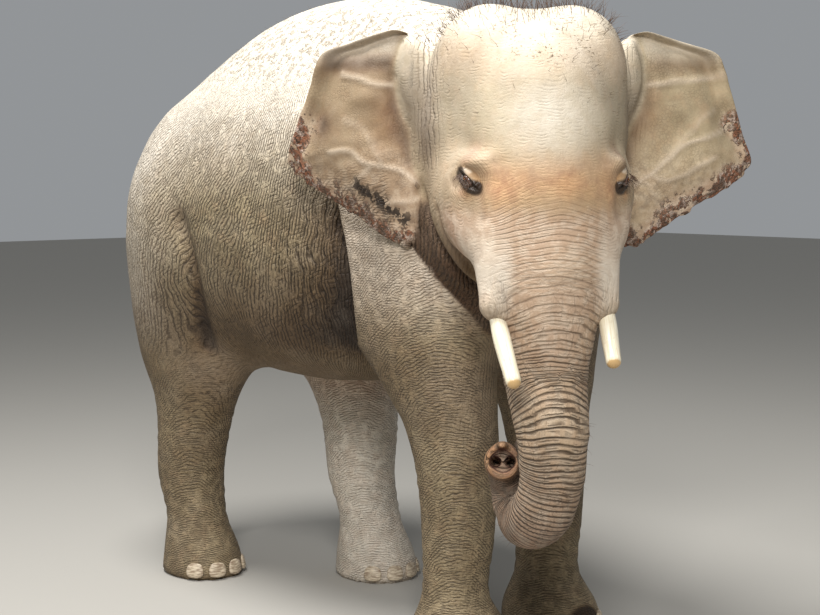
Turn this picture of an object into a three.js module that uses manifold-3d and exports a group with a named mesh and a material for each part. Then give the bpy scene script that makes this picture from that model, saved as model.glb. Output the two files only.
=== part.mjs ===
// A young bull Asian elephant, standing with its head turned to its right and its trunk curled under:
// a still, life-size model. Millimetres, +Z up. It faces -Y and its own left is +X.
// The flesh is one smooth solid, given by its distance function and parted by thin plane cuts into the
// lengths that have names. Ears, eyes, tusks, trunk, tail and nails are shapes of their own.
import * as THREE from "three";
import { mergeVertices } from "three/addons/utils/BufferGeometryUtils.js";
import Module from "manifold-3d";

const wasm = await Module();
wasm.setup();
const { Manifold, Mesh } = wasm;

// ---------------------------------------------------------------- driving dimensions
const GAP = 0.8; // clear space between neighbouring pieces
const SLIVER = 0.3; // triangles thinner than this are merged into their neighbours
// Everything is drawn proud of its own form, out to the tips of the sparse hair, and so far that the
// middles of the flats, which sag between their corners, still stand outside the skin.
const COAT = 10; // on the flesh that is faceted in cells
const ROD_COAT = 5; // on trunk, tail and feet, whose flats lie on the form itself
const MERGE = 1e-3; // corners closer than this are one
const SIDES = { right: -1, left: 1 };

// Torso: along y, the heights of back and belly and the half width.
const TORSO = {
  y: [-800, -450, -100, 200, 500, 800, 1020, 1130, 1190],
  back: [2200, 2310, 2375, 2385, 2330, 2190, 1990, 1840, 1700],
  belly: [1060, 970, 900, 880, 910, 1030, 1200, 1300, 1420],
  half: [360, 470, 560, 590, 575, 530, 440, 330, 200],
  widest: 0.42, // the widest level, as a share of the way from belly to back
  backPower: 1.85, // under 2 leaves a ridge along the spine
  bellyPower: 2.3,
};
// Swellings joined to it: the middle, the half sizes and the width of the fillet.
const RUMP = { at: [0, 800, 1500], half: [460, 420, 500], fillet: 220 };
const CHEST = { at: [0, -700, 1600], half: [340, 280, 560], fillet: 180 };
const SHOULDERS = [-270, 270].map((x) => ({ at: [x, -660, 1550], half: [190, 280, 600], fillet: 100 }));
const RIGHT_THIGH = { at: [-280, 800, 1340], half: [235, 385, 600], fillet: 140 };
const LEFT_THIGH = { at: [280, 720, 1370], half: [235, 370, 560], fillet: 140 };

// Legs: at height z, the centre line (x, y) and the half breadth (across) and half length (fore and aft).
const FOOT_TOP = 280;
const SOLE_ROUND = 14; // radius of the rounded edge of each sole
const FOOT_LEVELS = [0, SOLE_ROUND, 90, 150, 210, FOOT_TOP - GAP / 2];
const FORELEG = {
  z: [0, 100, 220, 420, 620, 800, 950, 1120, 1450],
  across: [182, 165, 115, 122, 135, 150, 170, 190, 170],
  along: [188, 174, 118, 125, 139, 168, 220, 275, 290],
  centre: {
    right: {
      x: [-255, -255, -260, -260, -262, -265, -275, -285, -300],
      y: [-760, -750, -735, -745, -745, -720, -665, -580, -560],
    },
    left: {
      x: [235, 235, 235, 245, 250, 255, 265, 280, 300],
      y: [-740, -730, -715, -710, -700, -680, -640, -580, -560],
    },
  },
};
const HINDLEG = {
  z: [0, 100, 240, 420, 620, 780, 950, 1150, 1400],
  across: [160, 150, 122, 131, 142, 159, 188, 208, 220],
  along: [185, 170, 132, 149, 170, 205, 260, 320, 345],
  centre: {
    right: {
      x: [-270, -270, -270, -270, -270, -275, -280, -285, -280],
      y: [830, 835, 870, 910, 885, 860, 860, 830, 800],
    },
    left: {
      x: [250, 250, 250, 250, 255, 260, 270, 280, 280],
      y: [290, 295, 330, 385, 400, 445, 540, 660, 770],
    },
  },
};
const LEG_POWER = 2.2;

// Fillets where one part of the body joins another.
const FILLET = { leg: 90, neck: 120, head: 80, trunk: 50, jaw: 50 };

// For each stretch of flesh, a box round it and the sides of the cells that it is faceted on.
const STRETCH = {
  torso: { low: [-700, -1250, 700], high: [700, 1300, 2500], cell: [130, 190, 140] },
  neck: { low: [-800, -1500, 1000], high: [600, -500, 2450], cell: [105, 105, 120] },
  head: { low: [-900, -1600, 1040], high: [260, -620, 2360], cell: [61, 61, 72] },
  foreleg_right: { low: [-710, -1005, 180], high: [60, -150, 1500], cell: [86, 96, 150] },
  foreleg_left: { low: [-60, -1005, 180], high: [710, -150, 1500], cell: [86, 96, 150] },
  hindleg_right: { low: [-710, 0, 180], high: [60, 1350, 1500], cell: [86, 96, 150] },
  hindleg_left: { low: [-60, 0, 180], high: [710, 1350, 1500], cell: [86, 96, 150] },
};

// Head: its own axes start midway between the eyes, x' to its left, y' to the back and z' up.
const EYES_AT = [-400, -1280, 1690];
const HEAD_TURN = THREE.MathUtils.degToRad(35); // towards its right
const EYE = { x: 245, y: -37, z: -3, radius: 22 };
// Swellings of the head and its sockets; of each pair the left one.
const BRAINCASE = { at: [0, 340, 180], half: [352, 330, 385] };
const FOREHEAD = { at: [0, 110, 170], half: [245, 260, 340], fillet: 100 };
const TRUNK_ROOT = { at: [0, -20, -100], half: [200, 185, 300], fillet: 100 };
const DOME = { at: [135, 250, 355], half: [185, 240, 215], fillet: 50 };
const CHEEKBONE = { at: [225, 170, -40], half: [100, 210, 150], fillet: 60 };
const JAW_MUSCLE = { at: [190, 300, -130], half: [130, 190, 220], fillet: 80 };
const BROW = { at: [208, 0, 52], half: [50, 85, 26], fillet: 40 };
const EAR_MOUND = { at: [365, 385, 350], half: [55, 70, 145], fillet: 50 };
const EYE_SOCKET = { at: [296, -55, -8], half: [52, 70, 30], fillet: 30 };
const SHEATH = { from: [105, -10, -120], to: [168, -105, -385], thick: 130, thin: 54, fillet: 60 };
const CHIN = [
  { at: [0, 300, -260], radius: 160 },
  { at: [0, 190, -400], radius: 82 },
  { at: [0, 145, -475], radius: 40 },
];
// Neck: rods from the shoulders, in the floor's axes, to the head, in its own.
const NAPE = { from: [0, -620, 1800], to: [0, 380, 100], thick: 420, thin: 270 };
const THROAT = { from: [0, -660, 1420], to: [0, 340, -220], thick: 300, thin: 220, fillet: 150 };
const TUSK = {
  thick: 29,
  thin: 21,
  bow: 14, // how far the middle hangs below the straight line
  bevel: 0.1, // length of the bevel at the tip, as a share of the last stretch
  bluntness: 0.7, // radius of the flat tip, as a share of the thin end's
  right: { from: [176, -60, -355], to: [146, -288, -612] },
  left: { from: [184, -60, -350], to: [170, -250, -560] },
};

// Trunk: points of its centre line and its radius there, first in the head's axes, then along a plumb
// line in the floor's axes: u runs towards the animal's left and w towards its chest.
const TRUNK_IN_HEAD = [
  { at: [0, 20, -100], radius: 190 },
  { at: [0, -45, -300], radius: 185 },
  { at: [0, -60, -450], radius: 155 },
  { at: [0, -50, -620], radius: 134 },
];
const PLUMB = [-462, -1370];
const CURL_TURN = THREE.MathUtils.degToRad(42);
const TRUNK_BELOW = [
  { u: 0, w: 0, z: 900, radius: 120 },
  { u: 0, w: 20, z: 740, radius: 110 },
  { u: -20, w: 75, z: 630, radius: 101 },
  { u: -55, w: 160, z: 585, radius: 91 },
  { u: -85, w: 235, z: 625, radius: 80 },
  { u: -105, w: 245, z: 700, radius: 70 },
  { u: -130, w: 190, z: 765, radius: 62 },
  { u: -140, w: 120, z: 785, radius: 59 },
];
const TRUNK_CUTS = [3.9, 5.15, 6.6, 8.4]; // places of the cuts, counted in the points above
const TRUNK_SPARE = 0.4; // how far past its cuts each length is made, counted in the same way
const TRUNK_SIDES = 14;
const NOSTRIL = { apart: 25, radius: 15, depth: 75, sides: 7 };

// Ears: the outline in the ear's own plane, outwards from the top of the root and down from it.
const EAR = {
  root: [355, 400, 475], // in the head's axes, for the left ear
  rootDrop: 540,
  out: [0, 59, 142, 236, 336, 366, 401, 443, 490, 490, 437, 354, 260, 165, 94, 35, 0, -24, -35],
  down: [0, -25, -10, 15, 45, 100, 200, 300, 400, 440, 485, 530, 585, 640, 690, 720, 700, 640, 560],
  sweep: { right: THREE.MathUtils.degToRad(32), left: THREE.MathUtils.degToRad(9) }, // back from square
  bow: 50, // how far the middle stands forward
  rootThick: 34,
  edgeThick: 11,
  sunk: 28, // how far the root reaches into the head
  rootTop: 20, // how far below the outline's start the root begins
  rootSlant: 35, // how far inwards the root runs on its way down
};

// Tail: points of its centre line and its radius.
const TAIL = [
  { at: [0, 1020, 1860], radius: 75 },
  { at: [0, 1190, 1780], radius: 62 },
  { at: [0, 1275, 1620], radius: 48 },
  { at: [0, 1305, 1350], radius: 36 },
  { at: [0, 1300, 1000], radius: 26 },
  { at: [0, 1295, 720], radius: 19 },
];
const TAIL_CUT = 3.3;
const TAIL_SIDES = 8;
const TUFT = {
  top: 760,
  bottom: 480,
  across: 26,
  along: 62,
  places: [0, 0.12, 0.35, 0.65, 0.9, 1], // of its rings, from top to bottom
  swell: [0.75, 0.9, 1, 0.85, 0.5, 0.2], // and their share of its half widths
  sides: 12,
};

const NAIL = { wide: 36, high: 30, thick: 10, middle: 46, lean: -0.12 };
const NAILS = { fore: 5, hind: 4 };
const NAIL_SPREAD = THREE.MathUtils.degToRad(33); // between neighbours, round the foot

// ---------------------------------------------------------------- number helpers
const clamp = THREE.MathUtils.clamp;

// Smooth curve through (keys, values), with the slopes of the chords between each point's neighbours.
function curve(s, keys, values) {
  const last = keys.length - 1;
  const at = clamp(s, keys[0], keys[last]);
  let i = 0;
  while (i < last - 1 && at > keys[i + 1]) i++;
  const slope = (k) => {
    const a = Math.max(k - 1, 0);
    const b = Math.min(k + 1, last);
    return (values[b] - values[a]) / (keys[b] - keys[a]);
  };
  const h = keys[i + 1] - keys[i];
  const t = (at - keys[i]) / h;
  return (
    (1 + 2 * t) * (1 - t) ** 2 * values[i] +
    t * (1 - t) ** 2 * h * slope(i) +
    t * t * (3 - 2 * t) * values[i + 1] +
    t * t * (t - 1) * h * slope(i + 1)
  );
}

// Joins two distances with a fillet about k wide; cutting is the same with the signs turned.
function blend(a, b, k) {
  const h = clamp(0.5 + (0.5 * (b - a)) / k, 0, 1);
  return b + (a - b) * h - k * h * (1 - h);
}
const blendCut = (a, b, k) => -blend(-a, -b, k);
const between = (a, b, t) => a + (b - a) * t;

// ---------------------------------------------------------------- distance functions
function ellipsoid([x, y, z], [cx, cy, cz], [a, b, c]) {
  const [u, v, w] = [(x - cx) / a, (y - cy) / b, (z - cz) / c];
  const k0 = Math.hypot(u, v, w);
  const k1 = Math.hypot(u / a, v / b, w / c);
  return (k0 * (k0 - 1)) / Math.max(k1, 1e-9);
}

// Joins an ellipsoid to the distance d; side -1 puts it on the other side of the middle plane.
const swell = (d, p, { at, half, fillet }, side = 1) =>
  blend(d, ellipsoid(p, [side * at[0], at[1], at[2]], half), fillet);

function taperedRod(p, a, b, ra, rb) {
  const d = [b[0] - a[0], b[1] - a[1], b[2] - a[2]];
  const q = [p[0] - a[0], p[1] - a[1], p[2] - a[2]];
  const t = clamp((q[0] * d[0] + q[1] * d[1] + q[2] * d[2]) / (d[0] ** 2 + d[1] ** 2 + d[2] ** 2), 0, 1);
  return Math.hypot(q[0] - t * d[0], q[1] - t * d[1], q[2] - t * d[2]) - (ra + (rb - ra) * t);
}

// Distance to the outline |u/a|^n + |v/b|^n = 1 in its own plane.
function superellipse(u, v, a, b, n) {
  const [U, V] = [Math.abs(u) / a, Math.abs(v) / b];
  const g = U ** n + V ** n + 1e-9;
  const steep = g ** (1 / n - 1) * Math.hypot(U ** (n - 1) / a, V ** (n - 1) / b);
  return (g ** (1 / n) - 1) / Math.max(steep, 1e-6);
}

function torso(p) {
  const [x, y, z] = p;
  const back = curve(y, TORSO.y, TORSO.back);
  const belly = curve(y, TORSO.y, TORSO.belly);
  const half = curve(y, TORSO.y, TORSO.half);
  const level = belly + TORSO.widest * (back - belly);
  const above = z > level;
  const around = superellipse(
    x,
    z - level,
    half,
    above ? back - level : level - belly,
    above ? TORSO.backPower : TORSO.bellyPower,
  );
  const past = Math.max(TORSO.y[0] - y, y - TORSO.y.at(-1), 0);
  let d = past > 0 ? Math.hypot(Math.max(around, 0), past) : around;
  for (const swelling of [RUMP, CHEST, ...SHOULDERS, RIGHT_THIGH, LEFT_THIGH]) d = swell(d, p, swelling);
  return d;
}

function leg(p, shape, centre) {
  const [x, y, z] = p;
  const around = superellipse(
    x - curve(z, shape.z, centre.x),
    y - curve(z, shape.z, centre.y),
    curve(z, shape.z, shape.across),
    curve(z, shape.z, shape.along),
    LEG_POWER,
  );
  const past = Math.max(z - shape.z.at(-1), 0);
  return past > 0 ? Math.hypot(Math.max(around, 0), past) : around;
}

const turnCos = Math.cos(HEAD_TURN);
const turnSin = Math.sin(HEAD_TURN);
const fromHead = ([x, y, z]) => [
  EYES_AT[0] + x * turnCos + y * turnSin,
  EYES_AT[1] - x * turnSin + y * turnCos,
  EYES_AT[2] + z,
];
function toHead([x, y, z]) {
  const [u, v] = [x - EYES_AT[0], y - EYES_AT[1]];
  return [u * turnCos - v * turnSin, u * turnSin + v * turnCos, z - EYES_AT[2]];
}

function skull(q) {
  let d = ellipsoid(q, BRAINCASE.at, BRAINCASE.half);
  d = swell(d, q, FOREHEAD);
  for (const side of Object.values(SIDES)) {
    for (const swelling of [DOME, CHEEKBONE, JAW_MUSCLE]) d = swell(d, q, swelling, side);
    const [from, to] = [SHEATH.from, SHEATH.to].map(([x, y, z]) => [side * x, y, z]);
    d = blend(d, taperedRod(q, from, to, SHEATH.thick, SHEATH.thin), SHEATH.fillet);
    for (const swelling of [BROW, EAR_MOUND]) d = swell(d, q, swelling, side);
  }
  d = swell(d, q, TRUNK_ROOT);
  for (const side of Object.values(SIDES)) {
    const [x, y, z] = EYE_SOCKET.at;
    d = blendCut(d, -ellipsoid(q, [side * x, y, z], EYE_SOCKET.half), EYE_SOCKET.fillet);
  }
  return d;
}
function lowerJaw(q) {
  const [back, middle, tip] = CHIN;
  const hinge = taperedRod(q, back.at, middle.at, back.radius, middle.radius);
  return blend(hinge, taperedRod(q, middle.at, tip.at, middle.radius, tip.radius), FILLET.jaw);
}

// Points and radii along a smooth line through the given ones, n for each span.
function smoothLine(stations, n) {
  const index = stations.map((_, i) => i);
  const rows = [0, 1, 2].map((k) => stations.map((s) => s.at[k]));
  const radii = stations.map((s) => s.radius);
  return (from, to) => {
    const steps = Math.max(Math.round((to - from) * n), 1);
    return Array.from({ length: steps + 1 }, (_, i) => {
      const t = from + ((to - from) * i) / steps;
      return { at: rows.map((row) => curve(t, index, row)), radius: curve(t, index, radii) };
    });
  };
}

const TRUNK = [
  ...TRUNK_IN_HEAD.map(({ at, radius }) => ({ at: fromHead(at), radius })),
  ...TRUNK_BELOW.map(({ u, w, z, radius }) => ({
    at: [
      PLUMB[0] + u * Math.cos(CURL_TURN) + w * Math.sin(CURL_TURN),
      PLUMB[1] - u * Math.sin(CURL_TURN) + w * Math.cos(CURL_TURN),
      z,
    ],
    radius,
  })),
];
const trunkLine = smoothLine(TRUNK, 2.5);
const trunkRoot = trunkLine(0, TRUNK_IN_HEAD.length + 1);
function trunk(p) {
  let d = Infinity;
  for (let i = 0; i + 1 < trunkRoot.length; i++) {
    const [a, b] = [trunkRoot[i], trunkRoot[i + 1]];
    d = Math.min(d, taperedRod(p, a.at, b.at, a.radius, b.radius));
  }
  return d;
}

function neck(p) {
  const [upper, lower] = [NAPE, THROAT].map(({ from, to, thick, thin }) =>
    taperedRod(p, from, fromHead(to), thick, thin),
  );
  return blend(upper, lower, THROAT.fillet);
}

function flesh(p) {
  let d = torso(p);
  for (const side of Object.keys(SIDES)) {
    d = blend(d, leg(p, FORELEG, FORELEG.centre[side]), FILLET.leg);
    d = blend(d, leg(p, HINDLEG, HINDLEG.centre[side]), FILLET.leg);
  }
  d = blend(d, neck(p), FILLET.neck);
  const q = toHead(p);
  const head = blend(blend(skull(q), trunk(p), FILLET.trunk), lowerJaw(q), FILLET.jaw);
  return blend(d, head, FILLET.head);
}

// ---------------------------------------------------------------- surfaces
// The flesh's surface, coat included, inside the box low..high, on cells of the given sides: one vertex in
// each cell that the surface crosses, moved along the gradient onto it.
function surfaceIn({ low, high, cell }) {
  const inBox = (p) => Math.max(...p.map((v, k) => Math.max(low[k] - v, v - high[k])));
  const value = (p) => Math.max(flesh(p) - COAT, inBox(p));
  const count = low.map((v, k) => Math.ceil((high[k] - v) / cell[k]) + 3);
  const place = (i, k) => low[k] + (i - 1) * cell[k];
  const [nx, ny, nz] = count;
  const id = (i, j, k) => (i * ny + j) * nz + k;
  const values = new Float64Array(nx * ny * nz);
  for (let i = 0; i < nx; i++)
    for (let j = 0; j < ny; j++)
      for (let k = 0; k < nz; k++) values[id(i, j, k)] = value([place(i, 0), place(j, 1), place(k, 2)]);

  const steps = [id(1, 0, 0), id(0, 1, 0), id(0, 0, 1)];
  const corners = [0, 1, 2, 3, 4, 5, 6, 7].map((c) => [c & 1, (c >> 1) & 1, (c >> 2) & 1]);
  const vertexOf = new Map();
  const points = [];
  for (let i = 0; i + 1 < nx; i++)
    for (let j = 0; j + 1 < ny; j++)
      for (let k = 0; k + 1 < nz; k++) {
        const here = corners.map(([a, b, c]) => values[id(i + a, j + b, k + c)]);
        const sum = [0, 0, 0];
        let crossings = 0;
        for (let m = 0; m < 8; m++)
          for (let axis = 0; axis < 3; axis++) {
            const n = m | (1 << axis);
            if (n === m || here[m] < 0 === here[n] < 0) continue;
            const t = here[m] / (here[m] - here[n]);
            crossings++;
            for (let q = 0; q < 3; q++) sum[q] += corners[m][q] + t * (corners[n][q] - corners[m][q]);
          }
        if (!crossings) continue;
        vertexOf.set(id(i, j, k), points.length);
        points.push([i, j, k].map((v, q) => place(v + sum[q] / crossings, q)));
      }

  const slopeStep = 0.5;
  const furthest = Math.min(...cell) / 4;
  const rounds = 4;
  for (const p of points)
    for (let round = 0; round < rounds; round++) {
      const f = value(p);
      const slope = [0, 1, 2].map((k) => {
        const q = [...p];
        q[k] += slopeStep;
        return (value(q) - f) / slopeStep;
      });
      const move = clamp(f / (slope[0] ** 2 + slope[1] ** 2 + slope[2] ** 2), -furthest, furthest);
      for (let k = 0; k < 3; k++) p[k] -= move * slope[k];
    }

  const faces = [];
  const apart = (a, b) => Math.hypot(...points[a].map((v, k) => v - points[b][k]));
  for (let i = 1; i + 1 < nx; i++)
    for (let j = 1; j + 1 < ny; j++)
      for (let k = 1; k + 1 < nz; k++)
        for (let axis = 0; axis < 3; axis++) {
          const at = id(i, j, k);
          const inside = values[at] < 0;
          if (inside === values[at + steps[axis]] < 0) continue;
          const [s, t] = [steps[(axis + 1) % 3], steps[(axis + 2) % 3]];
          const ring = [at, at - s, at - s - t, at - t].map((c) => vertexOf.get(c));
          const [a, b, c, d] = inside ? ring : ring.reverse();
          faces.push(...(apart(a, c) < apart(b, d) ? [a, b, c, a, c, d] : [a, b, d, b, c, d]));
        }
  return geometryFrom(points, faces);
}

function geometryFrom(points, faces) {
  const g = new THREE.BufferGeometry();
  g.setAttribute("position", new THREE.BufferAttribute(new Float32Array(points.flat()), 3));
  g.setIndex(faces);
  return g;
}

// A closed skin over rings of points, each ring with as many, from a flat first ring to a flat last one.
function loft(rings) {
  const n = rings[0].length;
  const faces = [];
  for (let r = 0; r + 1 < rings.length; r++)
    for (let i = 0; i < n; i++) {
      const [a, b] = [r * n + i, r * n + ((i + 1) % n)];
      faces.push(a, b, b + n, a, b + n, a + n);
    }
  const top = (rings.length - 1) * n;
  for (let i = 1; i + 1 < n; i++) faces.push(0, i + 1, i, top, top + i, top + i + 1);
  return geometryFrom(rings.flat(), faces);
}

// How much bigger a ring with flats is than the round that its flats lie on.
const overFlats = (sides) => 1 / Math.cos(Math.PI / sides);

// A rod along a line of points and radii; the ring's first point looks towards `side` all the way.
function rod(line, sides, { side = new THREE.Vector3(1, 0, 0), coat = 0 } = {}) {
  const points = line.map(({ at }) => new THREE.Vector3(...at));
  return loft(
    line.map(({ radius: bare }, i) => {
      const radius = (bare + coat) * overFlats(sides);
      const [next, last] = [points[Math.min(i + 1, points.length - 1)], points[Math.max(i - 1, 0)]];
      const along = next.clone().sub(last).normalize();
      const v = along.clone().cross(side).normalize();
      const u = v.clone().cross(along);
      return Array.from({ length: sides }, (_, k) => {
        const turn = (2 * Math.PI * k) / sides;
        const p = points[i].clone().addScaledVector(u, radius * Math.cos(turn));
        return p.addScaledVector(v, radius * Math.sin(turn)).toArray();
      });
    }),
  );
}

// ---------------------------------------------------------------- solids
function solidOf(geometry, grow = 0) {
  const only = new THREE.BufferGeometry();
  only.setAttribute("position", geometry.getAttribute("position").clone());
  only.setIndex(geometry.index);
  const merged = mergeVertices(only, MERGE);
  if (grow) {
    merged.computeVertexNormals();
    const [at, normal] = [merged.getAttribute("position"), merged.getAttribute("normal")];
    for (let i = 0; i < at.array.length; i++) at.array[i] += grow * normal.array[i];
  }
  const triVerts = new Uint32Array(merged.index.array);
  return new Manifold(new Mesh({ numProp: 3, vertProperties: merged.attributes.position.array, triVerts }));
}

function geometryOf(solid) {
  const { vertProperties, triVerts } = solid.getMesh();
  const g = new THREE.BufferGeometry();
  g.setAttribute("position", new THREE.BufferAttribute(new Float32Array(vertProperties), 3));
  return g.setIndex(new THREE.BufferAttribute(new Uint32Array(triVerts), 1));
}

// A solid grown outwards by the gap, for cutting its neighbours.
const grown = (solid) => solidOf(geometryOf(solid), GAP);

// The biggest body of a solid, without the chips that a cut leaves inside its neighbour.
const mainBody = (solid) => solid.decompose().reduce((a, b) => (b.volume() > a.volume() ? b : a));

// A cut is a plane: the point it goes through and the way that its far side looks.
function cutAt(point, normal) {
  const n = new THREE.Vector3(...normal).normalize();
  return { n, offset: n.dot(new THREE.Vector3(...point)) };
}
const beyond = (solid, { n, offset }) => solid.trimByPlane(n.toArray(), offset + GAP / 2);
const before = (solid, { n, offset }) => solid.trimByPlane(n.clone().negate().toArray(), -offset + GAP / 2);

const BIG = 6000;
// All of space on the far side of every one of the cuts, less half a gap, or more by half a gap.
function regionBeyond(cuts, give) {
  let region = solidOf(new THREE.BoxGeometry(BIG, BIG, BIG));
  for (const { n, offset } of cuts) region = region.trimByPlane(n.toArray(), offset + give);
  return region;
}
const keepIn = (solid, cuts) => solid.intersect(regionBeyond(cuts, GAP / 2));
const cutOut = (solid, cuts) => solid.subtract(regionBeyond(cuts, -GAP / 2));

// Cuts on the head, in its own axes; each looks at the piece that it bounds.
const headCut = (point, way) => cutAt(fromHead(point), fromHead(way).map((c, k) => c - EYES_AT[k]));
const HEAD_BACK = headCut([0, 500, 0], [0, -1, 0.12]);
const TRUNK_TOP = headCut([0, 0, -458], [0, 0, -1]);
const TRUNK_BACK = headCut([0, 118, -450], [0, -1, -0.25]);
const JAW = [headCut([0, 118, -330], [0, -0.35, -1]), headCut([0, 118, -450], [0, 1, 0.25])];
const NECK_FRONT = [cutAt([-55, -745, 1800], [-0.46, -0.89, 0]), cutAt([0, -900, 1215], [0, -0.35, 1])];
const LEG_CUTS = {
  fore: [cutAt([0, -650, 1050], [0, -0.3, -1]), cutAt([0, -230, 800], [0, -1, 0])],
  hind: [cutAt([0, 750, 980], [0, 0.35, -1]), cutAt([0, 60, 800], [0, 1, 0])],
};
const BETWEEN_LEGS = 2; // half the width of torso that is left between a pair of legs
const legCuts = (pair, side) => [
  ...LEG_CUTS[pair],
  cutAt([SIDES[side] * BETWEEN_LEGS, 0, 0], [SIDES[side], 0, 0]),
];

// ---------------------------------------------------------------- looks
const paint = (color, roughness) => new THREE.MeshStandardMaterial({ color, roughness, metalness: 0 });
const HIDE = paint("#9c8d7f", 0.85);
const IVORY = paint("#eee6cf", 0.4);
const HORN = paint("#cdbfa6", 0.6);
const EYEBALL = paint("#2a1a10", 0.1);
const HAIR = paint("#2b2622", 0.7);

const elephant = new THREE.Group();
elephant.name = "asian_elephant";

function add(name, solid, material) {
  const mesh = new THREE.Mesh(geometryOf(solid.simplify(SLIVER)), material);
  mesh.name = name;
  elephant.add(mesh);
}

// ---------------------------------------------------------------- the pieces
function eye(side) {
  const ball = new THREE.SphereGeometry(EYE.radius, 10, 6);
  ball.translate(...fromHead([SIDES[side] * EYE.x, EYE.y, EYE.z]));
  return solidOf(ball);
}

function tusk(side) {
  const s = SIDES[side];
  const { from, to } = TUSK[side];
  const [steps, sides] = [5, 10];
  const line = Array.from({ length: steps }, (_, i) => {
    const t = i / (steps - 1);
    const at = from.map((v, k) => between(v, to[k], t));
    at[2] -= TUSK.bow * Math.sin(Math.PI * t);
    return { at: fromHead([s * at[0], at[1], at[2]]), radius: between(TUSK.thick, TUSK.thin, t) };
  });
  // The blunt end is bevelled: one more ring, a little further on and smaller.
  const [end, inner] = [line.at(-1).at, line.at(-2).at];
  line.push({ at: end.map((v, k) => v + TUSK.bevel * (v - inner[k])), radius: TUSK.thin * TUSK.bluntness });
  return solidOf(rod(line, sides));
}

function ear(side) {
  const s = SIDES[side];
  const sweep = EAR.sweep[side];
  const [across, rows] = [4, 19];
  const index = EAR.out.map((_, i) => i);
  const normal = [-Math.sin(sweep), Math.cos(sweep)];
  const sheet = (face) =>
    Array.from({ length: rows }, (_, j) => {
      const v = j / (rows - 1);
      const edge = [curve(v * index.at(-1), index, EAR.out), curve(v * index.at(-1), index, EAR.down)];
      const root = [-EAR.rootSlant * v - EAR.sunk, EAR.rootTop + EAR.rootDrop * v];
      return Array.from({ length: across }, (_, i) => {
        const u = i / (across - 1);
        const out = between(root[0], edge[0], u);
        const down = between(root[1], edge[1], u);
        const thick = between(EAR.edgeThick, EAR.rootThick, (1 - u) ** 2);
        const lift = (face * thick) / 2 - EAR.bow * Math.sin(Math.PI * u) * Math.sin(Math.PI * v);
        const local = [
          EAR.root[0] + out * Math.cos(sweep) + lift * normal[0],
          EAR.root[1] + out * Math.sin(sweep) + lift * normal[1],
          EAR.root[2] - down,
        ];
        return fromHead([s * local[0], local[1], local[2]]);
      });
    });
  const points = [...sheet(-1).flat(), ...sheet(1).flat()];
  const half = rows * across;
  const faces = [];
  const quad = (a, b, c, d) => faces.push(...(s > 0 ? [a, b, c, a, c, d] : [a, c, b, a, d, c]));
  for (let j = 0; j + 1 < rows; j++)
    for (let i = 0; i + 1 < across; i++) {
      const a = j * across + i;
      const [b, c, d] = [a + 1, a + across + 1, a + across];
      quad(a, d, c, b);
      quad(half + a, half + b, half + c, half + d);
    }
  const rim = [
    ...Array.from({ length: across - 1 }, (_, i) => i),
    ...Array.from({ length: rows - 1 }, (_, j) => j * across + across - 1),
    ...Array.from({ length: across - 1 }, (_, i) => half - 1 - i),
    ...Array.from({ length: rows - 1 }, (_, j) => (rows - 1 - j) * across),
  ];
  rim.forEach((a, i) => {
    const b = rim[(i + 1) % rim.length];
    quad(a, b, b + half, a + half);
  });
  return solidOf(geometryFrom(points, faces));
}

// How far an outline |u|^n + |v|^n = 1 reaches along a direction.
const reachOf = (c, s) => (Math.abs(c) ** LEG_POWER + Math.abs(s) ** LEG_POWER) ** (-1 / LEG_POWER);

function foot(shape, centre) {
  const sides = 14;
  return solidOf(
    loft(
      FOOT_LEVELS.map((z) => {
        const inset = z < SOLE_ROUND ? SOLE_ROUND - Math.sqrt(SOLE_ROUND ** 2 - (SOLE_ROUND - z) ** 2) : 0;
        const half = [shape.across, shape.along].map(
          (row) => (curve(z, shape.z, row) + ROD_COAT) * overFlats(sides) - inset,
        );
        return Array.from({ length: sides }, (_, i) => {
          const turn = (2 * Math.PI * i) / sides;
          const [c, s] = [Math.cos(turn), Math.sin(turn)];
          const reach = reachOf(c, s);
          return [
            curve(z, shape.z, centre.x) + half[0] * reach * c,
            curve(z, shape.z, centre.y) + half[1] * reach * s,
            z,
          ];
        });
      }),
    ),
  );
}

// One toenail, a flattened ball half in the front of the foot at `turn` from straight ahead.
function nail(shape, centre, turn) {
  const halfAt = (row) => curve(NAIL.middle, shape.z, row) + ROD_COAT;
  const [across, along] = [halfAt(shape.across), halfAt(shape.along)];
  const reach = reachOf(Math.sin(turn), Math.cos(turn));
  const plate = new THREE.SphereGeometry(1, 6, 4);
  plate.scale(NAIL.wide, NAIL.thick, NAIL.high);
  plate.rotateX(NAIL.lean);
  plate.rotateZ(turn);
  plate.translate(
    curve(NAIL.middle, shape.z, centre.x) + across * reach * Math.sin(turn),
    curve(NAIL.middle, shape.z, centre.y) - along * reach * Math.cos(turn),
    NAIL.middle,
  );
  return solidOf(plate);
}

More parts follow.
